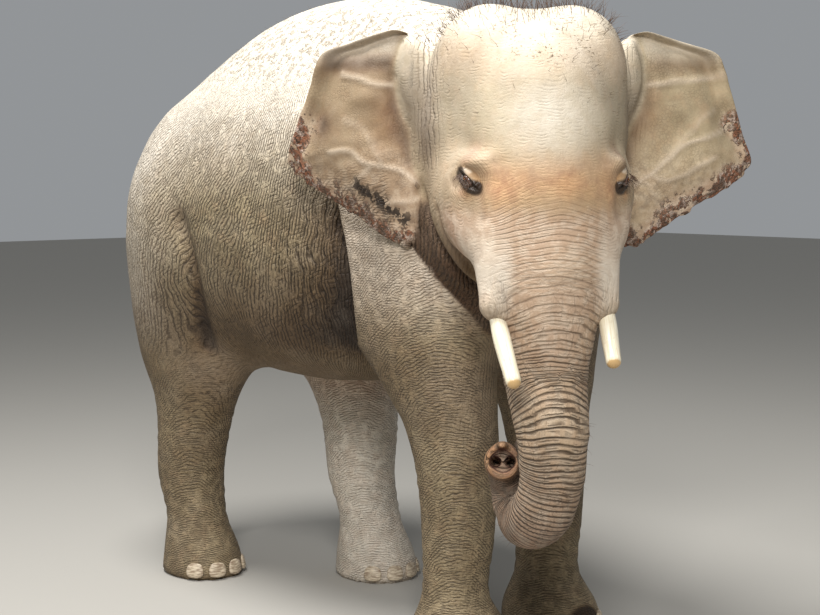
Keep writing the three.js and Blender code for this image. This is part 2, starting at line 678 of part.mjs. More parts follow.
// The trunk in five lengths, each a little longer than its share and then cut to it.
function addTrunk(tusks) {
  const last = TRUNK_CUTS.length;
  const ends = [2, ...TRUNK_CUTS, TRUNK.length - 1];
  const nearby = 0.05;
  const side = new THREE.Vector3(Math.cos(CURL_TURN), -Math.sin(CURL_TURN), 0);
  const tip = trunkLine(TRUNK.length - 2, TRUNK.length - 1);
  const [end, inner] = [new THREE.Vector3(...tip.at(-1).at), new THREE.Vector3(...tip.at(-2).at)];
  const out = end.clone().sub(inner).normalize();
  const cutPlanes = TRUNK_CUTS.map((t) => {
    const [a, b] = trunkLine(t - nearby, t + nearby);
    return cutAt(trunkLine(t, t + nearby)[0].at, b.at.map((v, k) => v - a.at[k]));
  });
  for (let i = 0; i <= last; i++) {
    const line = trunkLine(ends[i] - (i > 0 ? TRUNK_SPARE : 0), ends[i + 1] + (i < last ? TRUNK_SPARE : 0));
    let length = solidOf(rod(line, TRUNK_SIDES, { side, coat: ROD_COAT }));
    length = beyond(length, i > 0 ? cutPlanes[i - 1] : TRUNK_TOP);
    if (i < last) length = before(length, cutPlanes[i]);
    else
      for (const s of [-1, 1]) {
        const mouth = end.clone().addScaledVector(side, s * NOSTRIL.apart);
        const from = mouth.addScaledVector(out, NOSTRIL.radius);
        const to = from.clone().addScaledVector(out, -NOSTRIL.depth);
        const bore = [from, to].map((v) => ({ at: v.toArray(), radius: NOSTRIL.radius }));
        length = length.subtract(solidOf(rod(bore, NOSTRIL.sides, { side })));
      }
    for (const one of tusks) length = length.subtract(grown(one));
    add(`trunk_${i + 1}`, length, HIDE);
  }
}

function addTail(torsoSolid) {
  const line = smoothLine(TAIL, 3);
  const cut = cutAt([0, 0, line(TAIL_CUT, TAIL_CUT + 1)[0].at[2]], [0, 0, -1]);
  const end = cutAt([0, 0, TUFT.top], [0, 0, -1]);
  const whole = solidOf(rod(line(0, TAIL.length - 1), TAIL_SIDES, { coat: ROD_COAT }));
  add("tail_upper", before(whole, cut).subtract(grown(torsoSolid)), HIDE);
  add("tail_lower", before(beyond(whole, cut), end), HIDE);
  const y = TAIL.at(-1).at[1];
  const rings = TUFT.places.map((t, i) =>
    Array.from({ length: TUFT.sides }, (_, k) => {
      const turn = (-2 * Math.PI * k) / TUFT.sides;
      const z = between(TUFT.top - GAP, TUFT.bottom, t);
      const [across, along] = [TUFT.across, TUFT.along].map((half) => half * TUFT.swell[i]);
      return [across * Math.cos(turn), y + along * Math.sin(turn), z];
    }),
  );
  add("tail_tuft", solidOf(loft(rings)), HAIR);
}

function addHead(eyes, tusks) {
  const whole = solidOf(surfaceIn(STRETCH.head));
  let front = keepIn(whole, [...NECK_FRONT, HEAD_BACK]);
  const jaw = keepIn(front, JAW);
  front = cutOut(front, JAW);
  front = cutOut(front, [TRUNK_TOP, TRUNK_BACK]);
  for (const one of [...eyes, ...tusks]) front = front.subtract(grown(one));
  add("head", front, HIDE);
  add("lower_jaw", jaw, HIDE);
  return front;
}

function addLeg(pair, side, shape) {
  const name = `${pair}leg_${side}`;
  const aboveFoot = cutAt([0, 0, FOOT_TOP], [0, 0, 1]);
  add(name, keepIn(solidOf(surfaceIn(STRETCH[name])), [...legCuts(pair, side), aboveFoot]), HIDE);
  const centre = shape.centre[side];
  const footPart = foot(shape, centre);
  add(`${pair}foot_${side}`, footPart, HIDE);
  const count = NAILS[pair];
  for (let i = 0; i < count; i++) {
    const plate = nail(shape, centre, (i - (count - 1) / 2) * NAIL_SPREAD);
    add(`nail_${pair}_${side}_${i + 1}`, plate.subtract(grown(footPart)), HORN);
  }
}

function addBody() {
  let torsoPart = cutOut(solidOf(surfaceIn(STRETCH.torso)), NECK_FRONT);
  for (const side of Object.keys(SIDES))
    for (const pair of ["fore", "hind"]) torsoPart = cutOut(torsoPart, legCuts(pair, side));
  add("torso", torsoPart, HIDE);

  const neckPart = cutOut(keepIn(solidOf(surfaceIn(STRETCH.neck)), NECK_FRONT), [HEAD_BACK]);
  add("neck", neckPart, HIDE);

  for (const side of Object.keys(SIDES)) {
    addLeg("fore", side, FORELEG);
    addLeg("hind", side, HINDLEG);
  }
  return { torsoPart, neckPart };
}

const sideNames = Object.keys(SIDES);
const eyes = sideNames.map(eye);
const tusks = sideNames.map(tusk);
const { torsoPart, neckPart } = addBody();
const headPart = addHead(eyes, tusks);
addTrunk(tusks);
addTail(torsoPart);
sideNames.forEach((side, i) => {
  add(`eye_${side}`, eyes[i], EYEBALL);
  add(`tusk_${side}`, tusks[i], IVORY);
  add(`ear_${side}`, mainBody(ear(side).subtract(grown(headPart)).subtract(grown(neckPart))), HIDE);
});

// The origin is on the floor, below the middle of the whole model's box.
const middleOfAll = new THREE.Box3().setFromObject(elephant).getCenter(new THREE.Vector3());
elephant.position.set(-middleOfAll.x, -middleOfAll.y, 0);

export default elephant;
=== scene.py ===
"""A young bull Asian elephant, its head turned to its right, as a still life-size model: one skin over the
whole body, and eyes, tusks, nails and hair of their own. Metres, +Z up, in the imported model's frame."""
import math

import bmesh
import bpy
import numpy as np
import openvdb
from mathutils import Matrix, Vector


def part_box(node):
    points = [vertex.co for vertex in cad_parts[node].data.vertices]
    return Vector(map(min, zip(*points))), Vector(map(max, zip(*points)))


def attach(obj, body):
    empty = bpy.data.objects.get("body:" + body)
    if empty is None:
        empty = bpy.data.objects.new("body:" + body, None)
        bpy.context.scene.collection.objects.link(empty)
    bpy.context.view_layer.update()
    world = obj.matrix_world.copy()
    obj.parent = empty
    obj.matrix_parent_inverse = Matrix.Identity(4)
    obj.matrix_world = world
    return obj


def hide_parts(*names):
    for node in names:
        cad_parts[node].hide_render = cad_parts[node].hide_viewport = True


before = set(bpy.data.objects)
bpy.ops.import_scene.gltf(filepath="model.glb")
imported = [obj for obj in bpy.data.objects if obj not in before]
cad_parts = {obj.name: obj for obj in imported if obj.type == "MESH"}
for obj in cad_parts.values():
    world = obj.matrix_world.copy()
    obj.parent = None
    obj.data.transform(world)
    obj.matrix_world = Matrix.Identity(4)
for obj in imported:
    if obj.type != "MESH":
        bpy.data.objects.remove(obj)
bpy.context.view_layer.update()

# ---------------------------------------------------------------- the animal's own frame
# Shapes are worked out in the animal's own frame: it faces -Y, its left is +X, and the origin is on the
# floor under its belly. The head has axes of its own from midway between the eyes: x' to its left, y' to
# the back and z' up. MOVE takes the animal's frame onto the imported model's.
SIDES = {"right": -1, "left": 1}
EYES_AT = np.array([-0.400, -1.280, 1.690])
HEAD_TURN = math.radians(35)
COS, SIN = math.cos(HEAD_TURN), math.sin(HEAD_TURN)
HEAD_AXES = np.array([[COS, -SIN, 0], [SIN, COS, 0], [0, 0, 1]])
EYE = {"at": (0.245, -0.037, -0.003), "radius": 0.022}


def to_head(p):
    """Points in the head's own axes."""
    return (p - EYES_AT) @ HEAD_AXES.T


def from_head(q):
    """Points of the head's own axes in the animal's frame."""
    return EYES_AT + np.asarray(q, float) @ HEAD_AXES


def packed_offset():
    """From the point midway between the eyes in the animal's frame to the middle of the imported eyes."""
    corners = [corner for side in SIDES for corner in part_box("eye_" + side)]
    middle = np.mean([list(c) for c in corners], axis=0)
    return (middle - from_head((0, *EYE["at"][1:]))) * (1, 1, 0)


MOVE = packed_offset()

# ---------------------------------------------------------------- sizes of the body
TORSO = {
    "y": [-0.80, -0.45, -0.10, 0.20, 0.50, 0.80, 1.02, 1.13, 1.19],
    "back": [2.20, 2.31, 2.375, 2.385, 2.33, 2.19, 1.99, 1.84, 1.70],
    "belly": [1.06, 0.97, 0.90, 0.88, 0.91, 1.03, 1.20, 1.30, 1.42],
    "half": [0.36, 0.47, 0.56, 0.59, 0.575, 0.53, 0.44, 0.33, 0.20],
    "widest": 0.42,  # the widest level, as a share of the way from belly to back
    "back_power": 1.85,
    "belly_power": 2.3,
}
# Swellings joined to the torso: the middle, the half sizes and the width of the fillet.
SWELLINGS = [
    ((0, 0.80, 1.50), (0.46, 0.42, 0.50), 0.22),  # rump
    ((0, -0.70, 1.60), (0.34, 0.28, 0.56), 0.18),  # chest
    ((-0.27, -0.66, 1.55), (0.19, 0.28, 0.60), 0.10),  # right shoulder
    ((0.27, -0.66, 1.55), (0.19, 0.28, 0.60), 0.10),  # left shoulder
    ((-0.28, 0.80, 1.34), (0.235, 0.385, 0.60), 0.14),  # right thigh
    ((0.28, 0.72, 1.37), (0.235, 0.37, 0.56), 0.14),  # left thigh
]
# Legs: at height z, the centre line and the half breadth (across) and half length (fore and aft).
FORE = {
    "z": [0, 0.10, 0.22, 0.42, 0.62, 0.80, 0.95, 1.12, 1.45],
    "across": [0.182, 0.165, 0.115, 0.122, 0.135, 0.150, 0.170, 0.190, 0.170],
    "along": [0.188, 0.174, 0.118, 0.125, 0.139, 0.168, 0.220, 0.275, 0.290],
}
HIND = {
    "z": [0, 0.10, 0.24, 0.42, 0.62, 0.78, 0.95, 1.15, 1.40],
    "across": [0.160, 0.150, 0.122, 0.131, 0.142, 0.159, 0.188, 0.208, 0.220],
    "along": [0.185, 0.170, 0.132, 0.149, 0.170, 0.205, 0.260, 0.320, 0.345],
}
LEGS = {
    "fore_right": {
        **FORE,
        "x": [-0.255, -0.255, -0.260, -0.260, -0.262, -0.265, -0.275, -0.285, -0.300],
        "y": [-0.760, -0.750, -0.735, -0.745, -0.745, -0.720, -0.665, -0.580, -0.560],
    },
    "fore_left": {
        **FORE,
        "x": [0.235, 0.235, 0.235, 0.245, 0.250, 0.255, 0.265, 0.280, 0.300],
        "y": [-0.740, -0.730, -0.715, -0.710, -0.700, -0.680, -0.640, -0.580, -0.560],
    },
    "hind_right": {
        **HIND,
        "x": [-0.270, -0.270, -0.270, -0.270, -0.270, -0.275, -0.280, -0.285, -0.280],
        "y": [0.830, 0.835, 0.870, 0.910, 0.885, 0.860, 0.860, 0.830, 0.800],
    },
    "hind_left": {
        **HIND,
        "x": [0.250, 0.250, 0.250, 0.250, 0.255, 0.260, 0.270, 0.280, 0.280],
        "y": [0.290, 0.295, 0.330, 0.385, 0.400, 0.445, 0.540, 0.660, 0.770],
    },
}
LEG_POWER = 2.2
SOLE_FILLET = 0.03
FILLET = {"leg": 0.09, "neck": 0.12, "head": 0.08, "trunk": 0.05, "jaw": 0.05, "tail": 0.06}
# Neck: rods from the shoulders, in the animal's frame, to the head, in its own axes.
NAPE = ((0, -0.62, 1.80), (0, 0.38, 0.10), 0.42, 0.27)
THROAT = ((0, -0.66, 1.42), (0, 0.34, -0.22), 0.30, 0.22)
THROAT_FILLET = 0.15

# Head, in its own axes; of each pair the left one. Swellings as above.
BRAINCASE = ((0, 0.34, 0.18), (0.352, 0.33, 0.385))
FOREHEAD = ((0, 0.11, 0.17), (0.245, 0.26, 0.34), 0.10)
TRUNK_ROOT = ((0, -0.02, -0.10), (0.20, 0.185, 0.30), 0.10)
PAIRS_BEFORE_SHEATH = [
    ((0.135, 0.25, 0.355), (0.185, 0.24, 0.215), 0.05),  # dome
    ((0.225, 0.17, -0.04), (0.100, 0.21, 0.15), 0.06),  # cheekbone
    ((0.190, 0.30, -0.13), (0.130, 0.19, 0.22), 0.08),  # jaw muscle
]
PAIRS_AFTER_SHEATH = [
    ((0.208, 0, 0.052), (0.050, 0.085, 0.026), 0.04),  # brow
    ((0.365, 0.385, 0.35), (0.055, 0.070, 0.145), 0.05),  # mound at the ear's root
    ((0.215, 0.055, -0.165), (0.060, 0.105, 0.080), 0.07),  # between the cheekbone and the sheath
]
SHEATH = ((0.105, -0.01, -0.12), (0.168, -0.105, -0.385), 0.13, 0.054, 0.06)
EYE_SOCKET = ((0.296, -0.055, -0.008), (0.052, 0.070, 0.030), 0.03)
CHIN = [((0, 0.30, -0.26), 0.16), ((0, 0.19, -0.40), 0.082), ((0, 0.145, -0.475), 0.040)]
TUSK = {
    "thick": 0.029,
    "thin": 0.021,
    "bow": 0.014,
    "right": ((-0.176, -0.060, -0.355), (-0.146, -0.288, -0.612)),
    "left": ((0.184, -0.060, -0.350), (0.170, -0.250, -0.560)),
}

# Trunk: points and radii of its centre line, in the head's axes, and then along a plumb line in the
# animal's frame, where u runs towards its left and w towards its chest.
TRUNK_IN_HEAD = [
    ((0, 0.020, -0.100), 0.190),
    ((0, -0.045, -0.300), 0.185),
    ((0, -0.060, -0.450), 0.155),
    ((0, -0.050, -0.620), 0.134),
]
PLUMB = np.array([-0.462, -1.370, 0])
CURL_TURN = math.radians(42)
TRUNK_SIDE = np.array([math.cos(CURL_TURN), -math.sin(CURL_TURN), 0])
TRUNK_BACK = np.array([math.sin(CURL_TURN), math.cos(CURL_TURN), 0])
TRUNK_BELOW = [
    ((0.010, 0, 0.900), 0.113),
    ((0.006, 0.020, 0.740), 0.104),
    ((-0.020, 0.075, 0.630), 0.101),
    ((-0.055, 0.160, 0.585), 0.091),
    ((-0.085, 0.235, 0.625), 0.080),
    ((-0.105, 0.245, 0.700), 0.070),
    ((-0.130, 0.190, 0.765), 0.062),
    ((-0.140, 0.120, 0.785), 0.059),
]
NOSTRIL = {"apart": 0.023, "radius": 0.0185, "depth": 0.085}
TAIL = [
    ((0, 1.020, 1.860), 0.075),
    ((0, 1.190, 1.780), 0.062),
    ((0, 1.275, 1.620), 0.048),
    ((0, 1.305, 1.350), 0.036),
    ((0, 1.300, 1.000), 0.026),
    ((0, 1.295, 0.720), 0.019),
]

# ---------------------------------------------------------------- number helpers


def curve(s, keys, values):
    """A smooth curve through (keys, values): cubic Hermite spans, each point's slope that of the chord
    between its neighbours. values may be rows of several numbers."""
    keys, values = np.asarray(keys, float), np.asarray(values, float)
    ahead = np.minimum(np.arange(len(keys)) + 1, len(keys) - 1)
    behind = np.maximum(np.arange(len(keys)) - 1, 0)
    slope = ((values[ahead] - values[behind]).T / (keys[ahead] - keys[behind])).T
    s = np.clip(s, keys[0], keys[-1])
    i = np.clip(np.searchsorted(keys, s, side="right") - 1, 0, len(keys) - 2)
    h = keys[i + 1] - keys[i]
    t = (s - keys[i]) / h
    parts = [(1 + 2 * t) * (1 - t) ** 2, t * (1 - t) ** 2 * h, t * t * (3 - 2 * t), t * t * (t - 1) * h]
    if values.ndim > 1:
        parts = [part[..., None] for part in parts]
    return parts[0] * values[i] + parts[1] * slope[i] + parts[2] * values[i + 1] + parts[3] * slope[i + 1]


def blend(a, b, k):
    """The union of two distances, with a fillet about k wide."""
    h = np.clip(0.5 + 0.5 * (b - a) / k, 0, 1)
    return b + (a - b) * h - k * h * (1 - h)


def cut(a, b, k):
    """What two distances have in common, with its edge rounded over about k."""
    return -blend(-a, -b, k)


def ramp(value, low, high):
    """0 at low and 1 at high, with a smooth way between; high may be under low."""
    t = np.clip((value - low) / (high - low), 0, 1)
    return t * t * (3 - 2 * t)


def hump(value, middle, reach):
    """1 at the middle, falling smoothly to nothing at about twice the reach."""
    return np.exp(-((value - middle) ** 2) / (reach * reach))


def noise(p, cell, seed=0):
    """Smooth noise from -1 to 1: a random value at each corner of a lattice of boxes with sides `cell`,
    joined across each box by 3t^2 - 2t^3."""
    q = p / np.asarray(cell, float)
    base = np.floor(q).astype(np.int64)
    t = q - base
    t = t * t * (3 - 2 * t)
    total = np.zeros(len(q))
    for corner in np.ndindex(2, 2, 2):
        i = base + corner
        code = (i[:, 0] * 73856093) ^ (i[:, 1] * 19349663) ^ (i[:, 2] * 83492791) ^ (seed * 2654435761)
        code = (code ^ (code >> 15)) * 2246822519 & 0xFFFFFFFF
        code = (code ^ (code >> 13)) * 3266489917 & 0xFFFFFFFF
        value = ((code ^ (code >> 16)) & 0xFFFF) / 32767.5 - 1
        total += value * np.where(corner, t, 1 - t).prod(axis=1)
    return total


# ---------------------------------------------------------------- distance functions
# Each takes points as rows and gives the distance to a form, negative inside it.


def length(v):
    """The length of each row."""
    return np.sqrt((v * v).sum(axis=-1))


def ellipsoid(p, at, half):
    """k0 (k0 - 1) / k1, with k0 the length of p over the half sizes and k1 that of p over their squares."""
    q = (p - at) / half
    k0 = length(q)
    return k0 * (k0 - 1) / np.maximum(length(q / half), 1e-9)


def swell(d, p, at, half, fillet):
    """d joined to an ellipsoid."""
    return blend(d, ellipsoid(p, at, half), fillet)


def rod(p, a, b, thick, thin):
    """The distance to the line from a to b, less a radius that goes evenly from thick to thin."""
    a, b = np.asarray(a, float), np.asarray(b, float)
    q, d = p - a, b - a
    t = np.clip(q @ d / (d @ d), 0, 1)
    return length(q - t[:, None] * d) - (thick + (thin - thick) * t)


def superellipse(u, v, a, b, n):
    """(g - 1) over the steepness of g, with g = (|u/a|^n + |v/b|^n)^(1/n)."""
    U, V = np.abs(u) / a, np.abs(v) / b
    g = U**n + V**n + 1e-9
    steep = g ** (1 / n - 1) * np.hypot(U ** (n - 1) / a, V ** (n - 1) / b)
    return (g ** (1 / n) - 1) / np.maximum(steep, 1e-6)


def past(d, beyond):
    """d carried on as a rounded end, `beyond` past the form's last section."""
    return np.where(beyond > 0, np.hypot(np.maximum(d, 0), beyond), d)


def torso(p):
    """Superelliptic sections along y, rounder above the widest level than below, and the swellings."""
    x, y, z = p.T
    back, belly, half = (curve(y, TORSO["y"], TORSO[row]) for row in ("back", "belly", "half"))
    level = belly + TORSO["widest"] * (back - belly)
    upper = superellipse(x, z - level, half, back - level, TORSO["back_power"])
    lower = superellipse(x, z - level, half, level - belly, TORSO["belly_power"])
    d = np.where(z > level, upper, lower)
    d = past(d, np.maximum(np.maximum(TORSO["y"][0] - y, y - TORSO["y"][-1]), 0))
    for at, half_sizes, fillet in SWELLINGS:
        d = swell(d, p, at, half_sizes, fillet)
    return d


def leg_section(shape, z):
    """A leg's middle and half sizes at height z."""
    return (curve(z, shape["z"], shape[key]) for key in ("x", "y", "across", "along"))


def leg(p, shape):
    """Superelliptic sections over the height, cut off level at the floor with a rounded edge."""
    x, y, z = p.T
    at_x, at_y, across, along = leg_section(shape, z)
    d = superellipse(x - at_x, y - at_y, across, along, LEG_POWER)
    d = past(d, np.maximum(z - shape["z"][-1], 0))
    return cut(d, -z, SOLE_FILLET)


def skull(q):
    """Braincase, forehead, domes, cheekbones, jaw muscles, tusk sheaths, brows and ear mounds joined in
    turn, less a hollow for each eye."""
    d = ellipsoid(q, *BRAINCASE)
    d = swell(d, q, *FOREHEAD)
    for s in SIDES.values():
        mirrored = q * (s, 1, 1)
        for part in PAIRS_BEFORE_SHEATH:
            d = swell(d, mirrored, *part)
        d = blend(d, rod(mirrored, *SHEATH[:4]), SHEATH[4])
        for part in PAIRS_AFTER_SHEATH:
            d = swell(d, mirrored, *part)
    d = swell(d, q, *TRUNK_ROOT)
    for s in SIDES.values():
        at, half, fillet = EYE_SOCKET
        d = cut(d, -ellipsoid(q * (s, 1, 1), at, half), fillet)
    return d


def lower_jaw(q):
    """Two tapered rods from the hinge to the tip of the lip."""
    (back, thick), (middle, mid), (tip, thin) = CHIN
    return blend(rod(q, back, middle, thick, mid), rod(q, middle, tip, mid, thin), FILLET["jaw"])


class Line:
    """A bent round form: a smooth line through stations of (point, radius), kept as short straight spans,
    with the way along it at each of their ends."""

    def __init__(self, stations, spans=8):
        rows = np.array([[*at, radius] for at, radius in stations])
        t = np.linspace(0, len(rows) - 1, spans * (len(rows) - 1) + 1)
        rows = curve(t, np.arange(len(rows)), rows)
        self.points, self.radii = rows[:, :3], rows[:, 3]
        self.along = np.concatenate([[0], np.cumsum(length(np.diff(self.points, axis=0)))])

    def nearest(self, p):
        """For each point the distance to the line less the radius, and the place along the line."""
        best = np.full(len(p), np.inf)
        nearest = np.full(len(p), np.inf)
        place = np.zeros(len(p))
        for i in range(len(self.points) - 1):
            a, b = self.points[i], self.points[i + 1]
            q, d = p - a, b - a
            t = np.clip(q @ d / (d @ d), 0, 1)
            off = length(q - t[:, None] * d)
            best = np.minimum(best, off - (self.radii[i] + (self.radii[i + 1] - self.radii[i]) * t))
            closer = off < nearest
            nearest = np.where(closer, off, nearest)
            place = np.where(closer, self.along[i] + t * (self.along[i + 1] - self.along[i]), place)
        return best, place

    def at(self, s):
        """Centre, radius and direction at places along the line."""
        s = np.asarray(s, float)
        centre = np.stack([np.interp(s, self.along, column) for column in self.points.T], -1)
        ways = np.gradient(self.points, self.along, axis=0)
        way = np.stack([np.interp(s, self.along, column) for column in ways.T], -1)
        return centre, np.interp(s, self.along, self.radii), way / length(way)[..., None]


trunk_line = Line(
    [(from_head(at), radius) for at, radius in TRUNK_IN_HEAD]
    + [(PLUMB + u * TRUNK_SIDE + w * TRUNK_BACK + (0, 0, z), radius) for (u, w, z), radius in TRUNK_BELOW]
)
tail_line = Line(TAIL)
TRUNK_LENGTH = trunk_line.along[-1]
TIP, _, TIP_WAY = trunk_line.at(TRUNK_LENGTH)
TIP_UP = np.cross(TIP_WAY, TRUNK_SIDE)


def trunk_tip(p, d):
    """The trunk's end: cut off square with a rounded rim, dished, with two nostrils and the finger on
    its upper lip."""
    q = p - TIP
    d = cut(d, q @ TIP_WAY - 0.004, 0.024)
    finger_root = TIP + TIP_UP * 0.040 - TIP_WAY * 0.030
    finger_end = TIP + TIP_UP * 0.046 + TIP_WAY * 0.014
    d = blend(d, rod(p, finger_root, finger_end, 0.024, 0.011), 0.020)
    d = cut(d, -ellipsoid(p, TIP + TIP_WAY * 0.012, 0.0415), 0.012)
    for s in SIDES.values():
        mouth = TIP + s * NOSTRIL["apart"] * TRUNK_SIDE
        bore = rod(p, mouth, mouth - NOSTRIL["depth"] * TIP_WAY, NOSTRIL["radius"], 0.012)
        d = cut(d, -bore, 0.010)
    return d


def neck(p):
    """Two tapered rods from the shoulders into the back of the head."""
    upper, lower = (rod(p, a, from_head(b), thick, thin) for a, b, thick, thin in (NAPE, THROAT))
    return blend(upper, lower, THROAT_FILLET)


EYE_SPOTS = {side: from_head(np.array(EYE["at"]) * (s, 1, 1)) for side, s in SIDES.items()}


def from_eyes(p):
    """The distance to the middle of the nearer eye."""
    return np.min([length(p - spot) for spot in EYE_SPOTS.values()], axis=0)


def eye_axes(side):
    """An eye's own axes as rows: out of the socket, towards the inner corner and up across the slit. The
    slit slants down to the inner corner."""
    s = SIDES[side]
    out = np.array([s * math.cos(0.45), -math.sin(0.45), -0.05])
    out /= length(out)
    inner = np.array([-s * 0.40, -0.745, -0.53])
    inner -= (inner @ out) * out
    inner /= length(inner)
    up = np.cross(out, inner) * -s
    return np.stack([out, inner, up]) @ HEAD_AXES


EYE_AXES = {side: eye_axes(side) for side in SIDES}
LID = {"radius": 0.0268, "long": 1.95, "upper": math.radians(48), "lower": math.radians(44)}


def lids(p, d):
    """Each eye's lids: a ball a little bigger than the eye, joined to the skin, less a wedge whose edge
    runs from corner to corner through the middle of the eye."""
    for side in SIDES:
        q = (p - EYE_SPOTS[side]) @ EYE_AXES[side].T
        out, _, up = q.T
        ball = ellipsoid(q, (0, 0, 0), (LID["radius"], LID["radius"] * LID["long"], LID["radius"]))
        over = up * math.cos(LID["upper"]) - out * math.sin(LID["upper"])
        under = -up * math.cos(LID["lower"]) - out * math.sin(LID["lower"])
        slit = np.maximum(np.maximum(over, under), length(q) - 3 * LID["radius"])
        d = cut(blend(d, ball, 0.012), -slit, 0.004)
    return d


def flesh(p):
    """The whole body but the ears."""
    d = torso(p)
    for shape in LEGS.values():
        d = blend(d, leg(p, shape), FILLET["leg"])
    d = blend(d, neck(p), FILLET["neck"])
    q = to_head(p)
    head = skull(q)
    head = blend(head, trunk_line.nearest(p)[0], FILLET["trunk"])
    head = blend(head, lower_jaw(q), FILLET["jaw"])
    d = blend(d, head, FILLET["head"])
    d = blend(d, tail_line.nearest(p)[0], FILLET["tail"])
    return cut(d, -p[:, 2], 0.01)


def flesh_in_detail(p):
    """The whole body but the ears, with lids and the trunk's tip where they are."""
    d = flesh(p)
    near_eyes = from_eyes(p) < 0.12
    if near_eyes.any():
        d[near_eyes] = lids(p[near_eyes], d[near_eyes])
    near_tip = length(p - TIP) < 0.13
    if near_tip.any():
        d[near_tip] = trunk_tip(p[near_tip], d[near_tip])
    return d


# ---------------------------------------------------------------- the surface of the flesh


def spaced(low, high, places, steps):
    """Lattice places from low to past high, their spacing following the curve through (places, steps)."""
    out = [low]
    while out[-1] < high:
        out.append(out[-1] + float(np.interp(out[-1], places, steps)))
    return np.array(out)


LATTICE = [
    spaced(-0.86, 0.72, [0], [0.0230]),
    spaced(-1.68, 1.40, [-0.92, -0.72, 1.14, 1.24], [0.0160, 0.0320, 0.0320, 0.0200]),
    spaced(-0.06, 2.46, [0], [0.0230]),
]
BLOCK = 4  # lattice steps to a side of the blocks that are first looked at roughly


def flesh_quads():
    """The surface as quads: the distance on every BLOCK-th lattice point tells which blocks the surface
    may cross, and only their points are worked out one by one."""
    axes = []
    for axis in LATTICE:
        spare = -(len(axis) - 1) % BLOCK
        axes.append(np.concatenate([axis, axis[-1] + (axis[-1] - axis[-2]) * np.arange(1, spare + 1)]))
    rough_axes = [axis[::BLOCK] for axis in axes]
    rough_points = np.stack(np.meshgrid(*rough_axes, indexing="ij"), -1)
    rough = flesh(rough_points.reshape(-1, 3)).reshape(rough_points.shape[:3])
    blocks = np.array(rough.shape) - 1
    near = np.zeros(blocks, bool)
    for corner in np.ndindex(2, 2, 2):
        part = tuple(slice(c, c + n) for c, n in zip(corner, blocks))
        near |= np.abs(rough[part]) < BLOCK * 0.045
    field = rough[:-1, :-1, :-1]
    for axis in range(3):
        field = np.repeat(field, BLOCK, axis)
        near = np.repeat(near, BLOCK, axis)
    field = np.sign(field).astype(np.float32)
    i = np.argwhere(near)
    points = np.stack([axes[k][i[:, k]] for k in range(3)], -1)
    field[near] = flesh_in_detail(points)
    grid = openvdb.FloatGrid(background=1.0)
    grid.copyFromArray(field)
    places, quads = grid.convertToQuads(isovalue=0)
    points = np.stack([np.interp(places[:, k], np.arange(len(axes[k])), axes[k]) for k in range(3)], -1)
    return points, quads


def onto(points, value, rounds=3, step=0.0005, furthest=0.012):
    """Points moved along the slope of value onto its zero."""
    for _ in range(rounds):
        f = value(points)
        slope = np.stack([(value(points + step * way) - f) / step for way in np.eye(3)], -1)
        move = np.clip(f / np.maximum((slope * slope).sum(-1), 0.05), -furthest, furthest)
        points = points - move[:, None] * slope
    return points


def move_onto_flesh(corners, rounds=3):
    """Moves a mesh's corners onto the surface of the flesh."""
    moved = onto(np.array([corner.co for corner in corners]), flesh_in_detail, rounds)
    for corner, co in zip(corners, moved):
        corner.co = co


def refine(bm, where):
    """Cuts every face whose middle is where asked into four, and rounds the new corners onto the flesh."""
    faces = list(bm.faces)
    chosen = where(np.array([face.calc_center_median() for face in faces]))
    edges = {edge for face, take in zip(faces, chosen) if take for edge in face.edges}
    made = bmesh.ops.subdivide_edges(bm, edges=list(edges), cuts=1, use_grid_fill=True)
    move_onto_flesh([item for item in made["geom_inner"] if isinstance(item, bmesh.types.BMVert)])


def face_or_trunk(p):
    """The front of the face and the whole trunk."""
    q = to_head(p)
    face = (q[:, 1] < 0.06) & (q[:, 2] < 0.16) & (q[:, 1] > -0.8)
    face &= (p[:, 1] < -0.80) & (p[:, 2] > 0.45) & (p[:, 0] < 0.15)
    jaw = (q[:, 1] < 0.34) & (np.abs(q[:, 2] + 0.18) < 0.26) & (p[:, 1] < -0.62)
    return face | jaw


def near_spots(reach):
    """A test of whether points are within reach of an eye or of the trunk's tip."""
    return lambda p: np.minimum(from_eyes(p), length(p - TIP)) < reach


FOLD_MARGIN = 0.060


def near_folds(p):
    """Beside the body's creases, and the flank behind each foreleg."""
    near = [near_body_crease(p, sides, points, FOLD_MARGIN) for sides, points, *_ in BODY_CREASES]
    x, y, z = p.T
    flank = (np.abs(y + 0.34) < 0.12) & (np.abs(z - 1.42) < 0.36) & (np.abs(x) > 0.36)
    return (np.max(near, axis=0) > 0.5) | flank


def make_flesh():
    """The flesh as a mesh, finer over the face, the trunk and the creases, and finest at the eyes and the
    trunk's tip."""
    points, quads = flesh_quads()
    mesh = bpy.data.meshes.new("flesh")
    mesh.from_pydata(points.tolist(), [], quads.tolist())
    bm = bmesh.new()
    bm.from_mesh(mesh)
    move_onto_flesh(bm.verts, rounds=2)
    refine(bm, face_or_trunk)
    refine(bm, near_folds)
    refine(bm, near_spots(0.090))
    refine(bm, near_spots(0.062))
    bm.to_mesh(mesh)
    bm.free()
    return mesh


# ---------------------------------------------------------------- ears
EAR_ROOT = np.array([0.355, 0.400, 0.475])
EAR_DROP = 0.540
EAR_TOP = 0.020
EAR_SLANT = 0.035
EAR_SUNK = 0.028
EAR_BOW = 0.050
EAR_THICK = {"root": 0.034, "edge": 0.011}
EAR_SWEEP = {"right": math.radians(32), "left": math.radians(9)}
EAR_OUT = [0, 59, 142, 236, 336, 366, 401, 443, 490, 490, 437, 354, 260, 165, 94, 35, 0, -24, -35]
EAR_DOWN = [0, -25, -10, 15, 45, 100, 200, 300, 400, 440, 485, 530, 585, 640, 690, 720, 700, 640, 560]
EAR_EDGE = np.array([EAR_OUT, EAR_DOWN], float).T / 1000
EAR_GRID = (46, 104)
